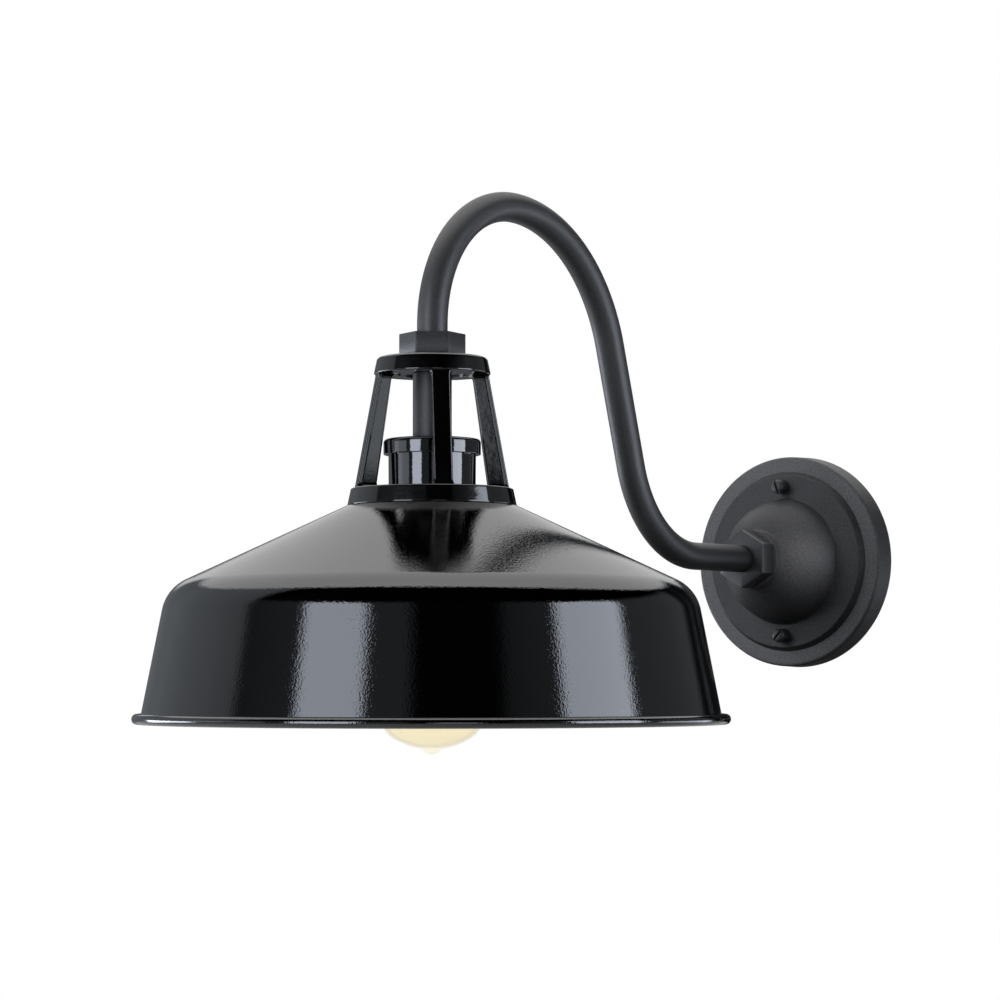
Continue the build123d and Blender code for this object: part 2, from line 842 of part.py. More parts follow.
# Bulb mount: a glass flare that closes the neck, with a tube and a support rod
flare_radius = neck_radius - bulb_wall - bore_gap
flare_bottom = neck_top - mount_flare_thickness
cone_bottom = flare_bottom - mount_cone_height
tube_bottom = neck_top - mount_tube_length
filament_top = tube_bottom - filament_drop
filament_end = filament_top - filament_height
rod_bottom = filament_end - support_hub_height
with BuildPart() as bulb_stem:
    with BuildSketch(lamp_section):
        with BuildLine():
            Polyline(
                (0, neck_top),
                (flare_radius, neck_top),
                (flare_radius, flare_bottom),
                (mount_tube_radius, cone_bottom),
                (mount_tube_radius, tube_bottom),
                (mount_rod_radius, tube_bottom),
                (mount_rod_radius, rod_bottom),
                (0, rod_bottom),
                close=True,
            )
        make_face()
    revolve(axis=lamp_axis)


def filament_point(strand, at_top):
    """Upper or lower end of one strand of the filament."""
    angle = math.radians(strand * filament_step_angle)
    radius = filament_top_radius if at_top else filament_end_radius
    height = filament_top if at_top else filament_end
    return Vector(radius * math.cos(angle), radius * math.sin(angle) - arm_reach, height)


# Filament: one wire, up and down between the two stars of support wires
filament_points = []
for strand_number in range(filament_strands):
    going_down = strand_number % 2 == 0
    filament_points.append(filament_point(strand_number, going_down))
    filament_points.append(filament_point(strand_number, not going_down))
with BuildLine() as filament_path:
    FilletPolyline(*filament_points, radius=filament_bend_radius)
with BuildPart() as filament:
    with BuildSketch(Plane(filament_path.line @ 0, z_dir=filament_path.line % 0)):
        Circle(filament_wire_radius)
    sweep(path=filament_path.wires()[0])

# Filament supports: a hub on the rod with a spoke to each turn of the wire
hub_radius = mount_rod_radius + bore_gap + support_hub_width
half_step = math.radians(filament_step_angle / 2)
with BuildPart() as filament_supports:
    for at_top in (True, False):
        level = filament_top if at_top else filament_end
        turn_radius = (filament_top_radius if at_top else filament_end_radius) * math.cos(half_step)
        spoke_end = turn_radius - filament_wire_radius - bore_gap
        add(
            washer(
                lamp_level(level - support_hub_height / 2),
                hub_radius,
                mount_rod_radius + bore_gap,
                support_hub_height,
            )
        )
        first_turn = 1 if at_top else 0
        for turn in range(first_turn, filament_strands - 1, 2):
            angle = (turn + 0.5) * math.radians(filament_step_angle)
            outward = (math.cos(angle), math.sin(angle), 0)
            spoke_start = hub_radius - support_hub_width / 2
            root = Vector(0, -arm_reach, level) + Vector(*outward) * spoke_start
            with BuildSketch(Plane(root, z_dir=outward)):
                Circle(support_wire_radius)
            extrude(amount=spoke_end - spoke_start)

# Bulb base: shell, insulator and contact button
base_inner = base_radius - base_wall
crown_bottom = base_top - base_crown_height
with BuildPart() as bulb_base:
    with BuildSketch(lamp_section):
        with BuildLine():
            Polyline(
                (base_inner, base_rim),
                (base_radius, base_rim),
                (base_radius, crown_bottom),
                (base_crown_radius, base_top),
                (base_crown_radius - base_wall, base_top),
                (base_inner, crown_bottom),
                close=True,
            )
        make_face()
    revolve(axis=lamp_axis)

with BuildPart() as bulb_insulator:
    with BuildSketch(lamp_section):
        with BuildLine():
            Polyline(
                (0, base_top),
                (base_crown_radius, base_top),
                (bulb_contact_radius, insulator_top),
                (0, insulator_top),
                close=True,
            )
        make_face()
    revolve(axis=lamp_axis)

with BuildPart() as bulb_contact:
    with BuildSketch(lamp_level(insulator_top)):
        Circle(bulb_contact_radius)
    extrude(amount=bulb_contact_height)
    button_edges = bulb_contact.edges().filter_by(GeomType.CIRCLE)
    fillet(button_edges.sort_by(Axis.Z)[-1], radius=bulb_contact_round)

# One file for each piece
pieces = {
    "back_plate": back_plate,
    "wall_gasket": wall_gasket,
    "canopy": canopy,
    "canopy_screws": canopy_screws,
    "mounting_strap": mounting_strap,
    "ground_screw": ground_screw,
    "wall_hex_nut": wall_hex_nut,
    "arm_lock_washer": arm_lock_washer,
    "arm_lock_nut": arm_lock_nut,
    "wire_bushing": wire_bushing,
    "gooseneck_arm": gooseneck_arm,
    "cage_hex_nut": cage_hex_nut,
    "shade_cage": shade_cage,
    "stem_sleeve": stem_sleeve,
    "socket_nipple": socket_nipple,
    "nipple_lock_nuts": nipple_lock_nuts,
    "cup_lid": cup_lid,
    "lid_gasket": lid_gasket,
    "socket_cup": socket_cup,
    "socket_bracket": socket_bracket,
    "bracket_screws": bracket_screws,
    "lampholder_body": lampholder_body,
    "lampholder_shell": lampholder_shell,
    "lampholder_contact": lampholder_contact,
    "terminal_screws": terminal_screws,
    "shade": shade,
    "shade_clamp_ring": shade_clamp_ring,
    "shade_screws": shade_screws,
    "bulb_glass": bulb_glass,
    "bulb_stem": bulb_stem,
    "filament": filament,
    "filament_supports": filament_supports,
    "bulb_base": bulb_base,
    "bulb_insulator": bulb_insulator,
    "bulb_contact": bulb_contact,
}
for name, piece in pieces.items():
    piece.part.label = name
    export_step(piece.part, f"parts/{name}.step")
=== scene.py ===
import math

import bmesh
import bpy
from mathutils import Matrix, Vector


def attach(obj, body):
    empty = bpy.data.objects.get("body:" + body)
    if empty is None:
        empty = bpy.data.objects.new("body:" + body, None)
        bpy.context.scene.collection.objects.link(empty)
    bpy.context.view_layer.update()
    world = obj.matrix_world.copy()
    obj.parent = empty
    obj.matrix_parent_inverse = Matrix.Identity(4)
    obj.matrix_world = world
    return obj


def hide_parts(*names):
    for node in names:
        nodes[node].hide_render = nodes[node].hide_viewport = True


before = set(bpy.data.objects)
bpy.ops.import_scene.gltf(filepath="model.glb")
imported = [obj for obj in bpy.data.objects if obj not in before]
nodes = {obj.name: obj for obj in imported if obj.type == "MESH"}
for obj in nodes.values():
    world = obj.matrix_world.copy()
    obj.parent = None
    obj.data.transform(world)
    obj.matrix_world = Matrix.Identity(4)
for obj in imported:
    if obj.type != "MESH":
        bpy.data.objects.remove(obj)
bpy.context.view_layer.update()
MM = 0.001

# Sizes of the light in millimetres, as the CAD has them, apart from the shoulder's rounding
# and the bulb's end, which are a little fuller here, as in the photograph
ARM_REACH = 420.0
ARM_RISE = 211.0
ARM_START = 42.0
ARM_END = 91.0
RISE_ANGLE = 73.0
LOWER_BEND = 79.5
UPPER_BEND = 109.5
CROOK = 81.0
TUBE_RADIUS = 9.25
TUBE_BORE = 7.45
TUBE_HOLE = 9.35

PLATE_RADIUS = 74.4
PLATE_FACE_RADIUS = 73.8
PLATE_DEPTH = 17.0
PLATE_WEB_BACK = 13.0
PLATE_CAVITY = 70.4
PLATE_HOLE = 44.3
LIP_RADIUS = 65.6
LIP_DEPTH = 5.0
GROOVE_INNER = 68.4
GROOVE_OUTER = 71.6
GROOVE_DEPTH = 2.0

FLANGE_BACK_RADIUS = 63.3
FLANGE_RADIUS = 60.5
FLANGE_FACE = 21.5
SPIGOT_RADIUS = 44.2
DOME_RADIUS = 44.2
DOME_ROOT = 1.5
CAVITY_RADIUS = 40.2
BOSS_RADIUS = 20.0
BOSS_FACE = 62.5
BOSS_BACK = 52.0
BOSS_ROOT = 3.0

HEX_ACROSS = 34.7
HEX_HEIGHT = 14.3
HEX_EDGE = 0.45
WALL_HEX_FLAT = 0.0
CAGE_HEX_FLAT = 8.0

CAGE_TOP = 110.1
CAP_PLATE_BOTTOM = 100.7
CAP_BOTTOM = 99.7
CAP_RADIUS = 35.2
CAP_RECESS = 21.5
CAGE_DRAFT = 2.2
RING_TOP = 31.3
RING_RADIUS = 50.8
RING_BORE = 33.5
CAGE_BOTTOM = 21.0
STRUT_COUNT = 4
STRUT_START = 47.0
STRUT_FLANGE = 5.7
STRUT_FLANGE_DEPTH = 3.0
STRUT_WEB = 3.8
STRUT_ROOT = 3.2
STRUT_SINK = 3.0
STRUT_TOP_RADIUS = 33.7
STRUT_TOP_DEPTH = 9.0
STRUT_FOOT_RADIUS = 46.2
STRUT_FOOT_DEPTH = 12.0

SLEEVE_RADIUS = 11.7
SLEEVE_EDGE = 0.4
NIPPLE_HOLE = 5.1
LID_TOP = 61.0
LID_PLATE_BOTTOM = 58.0
LID_BOTTOM = 51.5
LID_RADIUS = 29.2
LID_BORE = 26.4
CUP_TOP = 57.0
CUP_BOTTOM = -7.0
CUP_RADIUS = 26.3
CUP_FOOT_RADIUS = 25.8
CUP_WALL = 1.8

SHEET = 1.2
SHADE_NECK = 34.0
SHADE_SLOPE = 25.0
SHOULDER_RADIUS = 158.0
SHOULDER_ROUND = 25.0
NECK_ROUND = 1.5
SHADE_RADIUS = 178.0
BEAD_RADIUS = 3.1
BEAD_HEIGHT = -106.2

BULB_TIP = -127.4
BULB_RADIUS = 30.0
BULB_WALL = 1.0
BULB_SHOULDER = 14.0
BULB_END = 44.0
BULB_PIP_RADIUS = 6.0
BULB_PIP_HEIGHT = 3.1
BULB_PIP_FLARE = 6.0
BASE_RADIUS = 13.1
BASE_WALL = 0.5
BASE_RIM = -13.0
BASE_SKIRT = 4.5
BASE_STEP = 1.0
BASE_FOLD = 0.2
BASE_SHOULDER = 5.5
BASE_TOP = 9.5
BASE_TOP_RADIUS = 8.5
THREAD_DEPTH = 1.1
THREAD_BEAD = 0.9
THREAD_PITCH = 3.6
THREAD_TURNS = 3.1
THREAD_START = 6.8
NECK_RADIUS = 12.4
NECK_TOP = -8.0


def around_lamp(radius, height, turn):
    """Point at a radius, height and turn about the lamp's axis, in metres."""
    x = radius * math.cos(turn)
    y = radius * math.sin(turn) - ARM_REACH
    return Vector((x, y, height)) * MM


def around_wall(radius, distance, turn):
    """Point at a radius, distance out and turn about the wall's axis, in metres."""
    return Vector((radius * math.cos(turn), -distance, radius * math.sin(turn))) * MM


def arc(center, radius, start, end, steps=14):
    """Points of an arc in a section, with angles in degrees."""
    points = []
    for i in range(steps + 1):
        angle = math.radians(start + (end - start) * i / steps)
        points.append((
            center[0] + radius * math.cos(angle),
            center[1] + radius * math.sin(angle),
        ))
    return points


def rounded(corners, steps=8, hold=0.35):
    """Section outline through corners of (a, b, round), with a holding point beside each round."""
    points = []
    count = len(corners)
    for i, (a, b, radius) in enumerate(corners):
        here = Vector((a, b))
        if radius == 0:
            points.append((a, b))
            continue
        before = Vector(corners[i - 1][:2]) - here
        after = Vector(corners[(i + 1) % count][:2]) - here
        toward = before.normalized()
        away = after.normalized()
        half = toward.angle(away) / 2
        reach = radius / math.tan(half)
        center = here + (toward + away).normalized() * (radius / math.sin(half))
        first = here + toward * reach
        last = here + away * reach
        start = math.atan2(first.y - center.y, first.x - center.x)
        sweep = math.atan2(last.y - center.y, last.x - center.x) - start
        sweep = (sweep + math.pi) % (2 * math.pi) - math.pi
        if before.length > reach + 2 * hold:
            points.append(tuple(first + toward * hold))
        for step in range(steps + 1):
            angle = start + sweep * step / steps
            points.append((
                center.x + radius * math.cos(angle),
                center.y + radius * math.sin(angle),
            ))
        if after.length > reach + 2 * hold:
            points.append(tuple(last + away * hold))
    return points


def put(name, mesh, body, materials, replaced=()):
    """Links a finished mesh as a piece of the light."""
    piece = bpy.data.objects.new(name, mesh)
    bpy.context.scene.collection.objects.link(piece)
    if not mesh.materials:
        for material in materials:
            mesh.materials.append(material)
    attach(piece, body)
    if replaced:
        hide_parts(*replaced)
    return piece


def smooth(mesh, angle=32.0):
    """Smooth faces with crisp edges where the surface turns sharply."""
    mesh.shade_smooth()
    mesh.set_sharp_from_angle(angle=math.radians(angle))


def lathe(name, outline, place, segments=256, radius_of=None, paint=None, closed=True):
    """Mesh turned about an axis from a section outline of (radius, height)."""
    bm = bmesh.new()
    rings = []
    for i in range(segments):
        turn = 2 * math.pi * i / segments
        ring = []
        for j, (radius, height) in enumerate(outline):
            if radius_of:
                radius = radius_of(j, radius, turn)
            ring.append(bm.verts.new(place(radius, height, turn)))
        rings.append(ring)
    count = len(outline)
    for i in range(segments):
        here = rings[i]
        there = rings[(i + 1) % segments]
        for j in range(count if closed else count - 1):
            k = (j + 1) % count
            face = bm.faces.new((here[j], here[k], there[k], there[j]))
            if paint:
                face.material_index = paint(j)
    bmesh.ops.remove_doubles(bm, verts=bm.verts, dist=1e-7)
    bmesh.ops.dissolve_degenerate(bm, edges=bm.edges, dist=1e-8)
    bmesh.ops.recalc_face_normals(bm, faces=bm.faces)
    mesh = bpy.data.meshes.new(name)
    bm.to_mesh(mesh)
    bm.free()
    smooth(mesh)
    return mesh


# Finishes


def node_material(name):
    """Empty node material with its shader and an Object coordinate."""
    material = bpy.data.materials.new(name)
    material.use_nodes = True
    tree = material.node_tree
    shader = tree.nodes["Principled BSDF"]
    place = tree.nodes.new("ShaderNodeTexCoord")
    return material, tree, shader, place.outputs["Object"]


def noise(tree, where, scale, detail=4.0, rough=0.55):
    """Noise texture on the piece's own coordinates."""
    node = tree.nodes.new("ShaderNodeTexNoise")
    node.inputs["Scale"].default_value = scale
    node.inputs["Detail"].default_value = detail
    node.inputs["Roughness"].default_value = rough
    tree.links.new(where, node.inputs["Vector"])
    return node.outputs["Fac"]


def spread(tree, value, low, high, source=(0.3, 0.7)):
    """Stretches a texture value to a range."""
    node = tree.nodes.new("ShaderNodeMapRange")
    node.inputs["From Min"].default_value = source[0]
    node.inputs["From Max"].default_value = source[1]
    node.inputs["To Min"].default_value = low
    node.inputs["To Max"].default_value = high
    tree.links.new(value, node.inputs["Value"])
    return node.outputs["Result"]


def two_tone(tree, value, dark, light, source=(0.3, 0.7)):
    """Colour between two tones by a texture value."""
    node = tree.nodes.new("ShaderNodeValToRGB")
    node.color_ramp.elements[0].position = source[0]
    node.color_ramp.elements[0].color = (*dark, 1)
    node.color_ramp.elements[1].position = source[1]
    node.color_ramp.elements[1].color = (*light, 1)
    tree.links.new(value, node.inputs["Fac"])
    return node.outputs["Color"]


def bump(tree, shader, layers):
    """Relief from several texture values, each with a height in metres."""
    normal = None
    for value, height in layers:
        node = tree.nodes.new("ShaderNodeBump")
        node.inputs["Strength"].default_value = 1.0
        node.inputs["Distance"].default_value = height
        tree.links.new(value, node.inputs["Height"])
        if normal:
            tree.links.new(normal, node.inputs["Normal"])
        normal = node.outputs["Normal"]
    tree.links.new(normal, shader.inputs["Normal"])


def finish(name, dark, light, roughness, metallic=0.0, mottle=60.0, relief=(), ior=1.5):
    """Surface whose tone and gloss wander a little, with a fine relief."""
    material, tree, shader, where = node_material(name)
    cloud = noise(tree, where, mottle)
    tree.links.new(two_tone(tree, cloud, dark, light), shader.inputs["Base Color"])
    tree.links.new(spread(tree, cloud, *roughness), shader.inputs["Roughness"])
    shader.inputs["Metallic"].default_value = metallic
    shader.inputs["IOR"].default_value = ior
    layers = []
    for scale, height in relief:
        layers.append((noise(tree, where, scale, detail=2.0), height))
    if layers:
        bump(tree, shader, layers)
    return material


black_enamel = finish(
    "black_enamel", (0.0003, 0.0003, 0.0004), (0.0005, 0.0005, 0.0006), (0.03, 0.045),
    mottle=40.0, relief=((760.0, 6e-5),),
)
cup_enamel = finish(
    "cup_enamel", (0.0003, 0.0003, 0.0004), (0.0005, 0.0005, 0.0006), (0.04, 0.06),
    mottle=60.0, relief=((420.0, 2.6e-5),),
)
cast_enamel = finish(
    "cast_enamel", (0.0008, 0.0008, 0.0010), (0.0016, 0.0016, 0.0019), (0.06, 0.1),
    mottle=120.0, relief=((160.0, 4e-5), (700.0, 5e-6)),
)
white_enamel = finish(
    "white_enamel", (0.76, 0.76, 0.74), (0.8, 0.8, 0.78), (0.26, 0.3),
    mottle=30.0, relief=((300.0, 8e-6),),
)
grey_coat = finish(
    "grey_coat", (0.016, 0.016, 0.017), (0.03, 0.03, 0.031), (0.42, 0.52),
    mottle=900.0, relief=((1100.0, 5e-5),), ior=1.42,
)
nut_coat = finish(
    "nut_coat", (0.018, 0.018, 0.019), (0.03, 0.03, 0.031), (0.3, 0.4),
    mottle=900.0, relief=((1100.0, 5e-5),),
)
# The arm's dark grey coat painted darker for the stem sleeve: painted shade standing in for the
# dimmer light inside the cage
stem_shaded_coat = finish(
    "stem_shaded_coat", (0.012, 0.012, 0.013), (0.022, 0.022, 0.023), (0.42, 0.52),
    mottle=900.0, relief=((1100.0, 5e-5),), ior=1.34,
)
# The back plate's grey cast coat painted darker on the canopy: painted shade for the flange's raised
# lettering, which is not modelled, and for a dimmer dome top
canopy_shaded_coat = finish(
    "canopy_shaded_coat", (0.028, 0.028, 0.0289), (0.047, 0.047, 0.0486), (0.38, 0.5),
    mottle=700.0, relief=((420.0, 1.6e-4), (1100.0, 1e-4)), ior=1.22,
)
cast_coat = finish(
    "cast_coat", (0.042, 0.042, 0.043), (0.082, 0.082, 0.084), (0.42, 0.55),
    mottle=700.0, relief=((420.0, 2e-4), (1100.0, 1e-4)), ior=1.34,
)
zinc_steel = finish(
    "zinc_steel", (0.5, 0.5, 0.48), (0.62, 0.62, 0.61), (0.28, 0.42),
    metallic=1.0, mottle=180.0, relief=((900.0, 1e-5),),
)
earth_green = finish(
    "earth_green", (0.02, 0.16, 0.05), (0.03, 0.22, 0.07), (0.3, 0.4),
    mottle=300.0, relief=((900.0, 1e-5),),
)
brass = finish(
    "brass", (0.58, 0.42, 0.17), (0.7, 0.53, 0.24), (0.22, 0.36),
    metallic=1.0, mottle=150.0, relief=((800.0, 8e-6),),
)
porcelain = finish(
    "porcelain", (0.76, 0.74, 0.69), (0.82, 0.8, 0.75), (0.1, 0.18),
    mottle=60.0, relief=((120.0, 2e-5),),
)
rubber = finish(
    "rubber", (0.014, 0.014, 0.014), (0.024, 0.024, 0.024), (0.7, 0.85),
    mottle=400.0, relief=((1200.0, 3e-5),),
)
nylon = finish(
    "nylon", (0.02, 0.02, 0.02), (0.03, 0.03, 0.03), (0.45, 0.6),
    mottle=300.0, relief=((900.0, 2e-5),),
)
black_glass = finish(
    "black_glass", (0.012, 0.012, 0.016), (0.02, 0.02, 0.025), (0.08, 0.16),
    mottle=200.0, relief=((500.0, 1e-5),),
)
filament_wire = finish(
    "filament_wire", (0.2, 0.17, 0.14), (0.3, 0.25, 0.2), (0.35, 0.5),
    metallic=1.0, mottle=900.0,
)
solder = finish(
    "solder", (0.55, 0.55, 0.55), (0.66, 0.66, 0.66), (0.3, 0.45),
    metallic=1.0, mottle=500.0, relief=((700.0, 4e-5),),
)


def glass(name, dark, light):
    """Thin blown glass: little bending, a clear coat of reflections and faint waves."""
    material, tree, shader, where = node_material(name)
    cloud = noise(tree, where, 25.0, detail=1.0)
    tree.links.new(two_tone(tree, cloud, dark, light), shader.inputs["Base Color"])
    tree.links.new(spread(tree, cloud, 0.0, 0.02), shader.inputs["Roughness"])
    shader.inputs["Transmission Weight"].default_value = 1.0
    shader.inputs["IOR"].default_value = 1.0
    shader.inputs["Coat Weight"].default_value = 0.35
    shader.inputs["Coat Roughness"].default_value = 0.02
    shader.inputs["Coat IOR"].default_value = 1.5
    bump(tree, shader, [(cloud, 2e-5)])
    return material


amber_glass = glass("amber_glass", (0.963, 0.902, 0.736), (0.978, 0.927, 0.775))
clear_glass = glass("clear_glass", (0.95, 0.96, 0.95), (0.98, 0.98, 0.98))


# Geometry Nodes trees


def ring_tree():
    """Tree that sets copies of a mesh evenly round an upright axis."""
    tree = bpy.data.node_groups.new("ring_of_copies", "GeometryNodeTree")
    face = tree.interface
    face.new_socket("Geometry", in_out="INPUT", socket_type="NodeSocketGeometry")
    face.new_socket("Count", in_out="INPUT", socket_type="NodeSocketInt")
    face.new_socket("Start Angle", in_out="INPUT", socket_type="NodeSocketFloat")
    face.new_socket("Center", in_out="INPUT", socket_type="NodeSocketVector")
    face.new_socket("Finish", in_out="INPUT", socket_type="NodeSocketMaterial")
    face.new_socket("Geometry", in_out="OUTPUT", socket_type="NodeSocketGeometry")
    add = tree.nodes.new
    link = tree.links.new
    given = add("NodeGroupInput")
    points = add("GeometryNodePoints")
    index = add("GeometryNodeInputIndex")
    step = add("ShaderNodeMath")
    step.operation = "DIVIDE"
    step.inputs[0].default_value = 2 * math.pi
    angle = add("ShaderNodeMath")
    angle.operation = "MULTIPLY_ADD"
    turn = add("ShaderNodeCombineXYZ")
    copies = add("GeometryNodeInstanceOnPoints")
    real = add("GeometryNodeRealizeInstances")
    coat = add("GeometryNodeSetMaterial")
    out = add("NodeGroupOutput")
    link(given.outputs["Count"], points.inputs["Count"])
    link(given.outputs["Center"], points.inputs["Position"])
    link(given.outputs["Count"], step.inputs[1])
    link(index.outputs["Index"], angle.inputs[0])
    link(step.outputs[0], angle.inputs[1])
    link(given.outputs["Start Angle"], angle.inputs[2])
    link(angle.outputs[0], turn.inputs["Z"])
    link(points.outputs[0], copies.inputs["Points"])
    link(given.outputs["Geometry"], copies.inputs["Instance"])
    link(turn.outputs[0], copies.inputs["Rotation"])
    link(copies.outputs[0], real.inputs[0])
    link(real.outputs[0], coat.inputs["Geometry"])
    link(given.outputs["Finish"], coat.inputs["Material"])
    link(coat.outputs[0], out.inputs[0])
    return tree


def thread_tree():
    """Tree that winds a round bead up an upright axis, as a rolled thread."""
    tree = bpy.data.node_groups.new("rolled_thread", "GeometryNodeTree")
    face = tree.interface
    face.new_socket("Geometry", in_out="INPUT", socket_type="NodeSocketGeometry")
    face.new_socket("Turns", in_out="INPUT", socket_type="NodeSocketFloat")
    face.new_socket("Radius", in_out="INPUT", socket_type="NodeSocketFloat")
    face.new_socket("Height", in_out="INPUT", socket_type="NodeSocketFloat")
    face.new_socket("Bead", in_out="INPUT", socket_type="NodeSocketFloat")
    face.new_socket("Foot", in_out="INPUT", socket_type="NodeSocketVector")
    face.new_socket("Finish", in_out="INPUT", socket_type="NodeSocketMaterial")
    face.new_socket("Geometry", in_out="OUTPUT", socket_type="NodeSocketGeometry")
    add = tree.nodes.new
    link = tree.links.new
    given = add("NodeGroupInput")
    spiral = add("GeometryNodeCurveSpiral")
    spiral.inputs["Resolution"].default_value = 72
    bead = add("GeometryNodeCurvePrimitiveCircle")
    bead.inputs["Resolution"].default_value = 12
    tube = add("GeometryNodeCurveToMesh")
    tube.inputs["Fill Caps"].default_value = True
    shift = add("GeometryNodeTransform")
    soft = add("GeometryNodeSetShadeSmooth")
    real = add("GeometryNodeRealizeInstances")
    coat = add("GeometryNodeSetMaterial")
    out = add("NodeGroupOutput")
    link(given.outputs["Turns"], spiral.inputs["Rotations"])
    link(given.outputs["Radius"], spiral.inputs["Start Radius"])
    link(given.outputs["Radius"], spiral.inputs["End Radius"])
    link(given.outputs["Height"], spiral.inputs["Height"])
    link(given.outputs["Bead"], bead.inputs["Radius"])
    link(spiral.outputs[0], tube.inputs["Curve"])
    link(bead.outputs[0], tube.inputs["Profile Curve"])
    link(tube.outputs[0], shift.inputs["Geometry"])
    link(given.outputs["Foot"], shift.inputs["Translation"])
    link(shift.outputs[0], soft.inputs[0])
    link(soft.outputs[0], real.inputs[0])
    link(real.outputs[0], coat.inputs["Geometry"])
    link(given.outputs["Finish"], coat.inputs["Material"])
    link(coat.outputs[0], out.inputs[0])
    return tree


def grow(name, tree, mesh, values):
    """Runs a tree on a mesh with named inputs and returns the plain mesh it makes."""
    seed = bpy.data.objects.new(name + "_seed", mesh)
    bpy.context.scene.collection.objects.link(seed)
    modifier = seed.modifiers.new("tree", "NODES")
    modifier.node_group = tree
    sockets = {s.name: s.identifier for s in tree.interface.items_tree if s.in_out == "INPUT"}
    for key, value in values.items():
        modifier[sockets[key]] = value
    bpy.context.view_layer.update()
    seen = seed.evaluated_get(bpy.context.evaluated_depsgraph_get())
    result = bpy.data.meshes.new_from_object(seen)
    result.name = name
    seed.modifiers.remove(modifier)
    bpy.data.objects.remove(seed)
    return result


ring_of_copies = ring_tree()
rolled_thread = thread_tree()
lamp_foot = Vector((0, -ARM_REACH, 0)) * MM


# Wall end

plate_outline = rounded([
    (LIP_RADIUS, 0, 0), (GROOVE_INNER, 0, 0), (GROOVE_INNER, GROOVE_DEPTH, 0),
    (GROOVE_OUTER, GROOVE_DEPTH, 0), (GROOVE_OUTER, 0, 0), (PLATE_RADIUS, 0, 0.4),
    (PLATE_FACE_RADIUS, PLATE_DEPTH, 2.0), (PLATE_HOLE, PLATE_DEPTH, 0),
    (PLATE_HOLE, PLATE_WEB_BACK, 0), (PLATE_CAVITY, PLATE_WEB_BACK, 1.0),
    (PLATE_CAVITY, LIP_DEPTH, 0.5), (LIP_RADIUS, LIP_DEPTH, 0.5),
])
plate_mesh = lathe("back_plate_casting", plate_outline, around_wall)
put("back_plate_casting", plate_mesh, "fixture", [cast_coat], ["back_plate"])

flange_top = FLANGE_FACE + DOME_ROOT
flange_reach = math.sqrt((DOME_RADIUS + DOME_ROOT) ** 2 - (flange_top - PLATE_DEPTH) ** 2)
flange_fillet = (flange_reach, flange_top)
boss_reach = BOSS_RADIUS + BOSS_ROOT
boss_rise = math.sqrt((DOME_RADIUS + BOSS_ROOT) ** 2 - boss_reach**2)
boss_fillet = (boss_reach, PLATE_DEPTH + boss_rise)
flange_turn = math.degrees(math.atan2(flange_fillet[1] - PLATE_DEPTH, flange_fillet[0]))
boss_turn = math.degrees(math.atan2(boss_fillet[1] - PLATE_DEPTH, boss_fillet[0]))
cavity_turn = math.degrees(math.acos(BOSS_RADIUS / CAVITY_RADIUS))
flange_outline = rounded([
    (SPIGOT_RADIUS, PLATE_DEPTH, 0), (FLANGE_BACK_RADIUS, PLATE_DEPTH, 0.25),
    (FLANGE_RADIUS, FLANGE_FACE, 1.0), (SPIGOT_RADIUS, FLANGE_FACE, 0),
])
canopy_outline = (
    [(CAVITY_RADIUS, PLATE_WEB_BACK), (SPIGOT_RADIUS, PLATE_WEB_BACK), (SPIGOT_RADIUS, PLATE_DEPTH)]
    + flange_outline[1:-1]
    + arc(flange_fillet, DOME_ROOT, -90, flange_turn - 180, 10)
    + arc((0, PLATE_DEPTH), DOME_RADIUS, flange_turn, boss_turn, 40)[1:-1]
    + arc(boss_fillet, BOSS_ROOT, boss_turn + 180, 180, 10)
    + [(BOSS_RADIUS, BOSS_FACE - 0.8), (BOSS_RADIUS - 0.3, BOSS_FACE - 0.2)]
    + [(BOSS_RADIUS - 0.8, BOSS_FACE)]
    + [(TUBE_HOLE, BOSS_FACE), (TUBE_HOLE, BOSS_BACK), (BOSS_RADIUS, BOSS_BACK)]
    + arc((0, PLATE_DEPTH), CAVITY_RADIUS, cavity_turn, 0, 24)
)
canopy_mesh = lathe("canopy_casting", canopy_outline, around_wall)
# The canopy takes the plate's coat painted darker, as painted shade
put("canopy_casting", canopy_mesh, "fixture", [canopy_shaded_coat], ["canopy"])


def hexagon(turn, flat_at):
    """Distance from a hexagon's centre to its side, for one across flats of two."""
    side = math.radians(60)
    off = (turn - flat_at + side / 2) % side - side / 2
    return 1 / math.cos(off)


def hex_outline(foot):
    """Section of a hexagon nut, in half its width across flats."""
    top = foot + HEX_HEIGHT
    half = HEX_ACROSS / 2
    bulge = HEX_EDGE * 0.3
    return [
        (TUBE_HOLE, foot), (half - HEX_EDGE, foot), (half - bulge, foot + bulge),
        (half, foot + HEX_EDGE), (half, top - HEX_EDGE), (half - bulge, top - bulge),
        (half - HEX_EDGE, top), (TUBE_HOLE, top),
    ]


def hex_nut(name, foot, place, flat_at, node):
    """Hexagon nut with softened edges."""
    bored = (0, 7)

    def radius_of(j, radius, turn):
        return radius if j in bored else radius * hexagon(turn, flat_at)

    mesh = lathe(name, hex_outline(foot), place, segments=144, radius_of=radius_of)
    return put(name, mesh, "fixture", [nut_coat], [node])


hex_nut("wall_hexagon", BOSS_FACE, around_wall, math.radians(WALL_HEX_FLAT), "wall_hex_nut")
hex_nut("cage_hexagon", CAGE_TOP, around_lamp, math.radians(CAGE_HEX_FLAT), "cage_hex_nut")


# Gooseneck arm


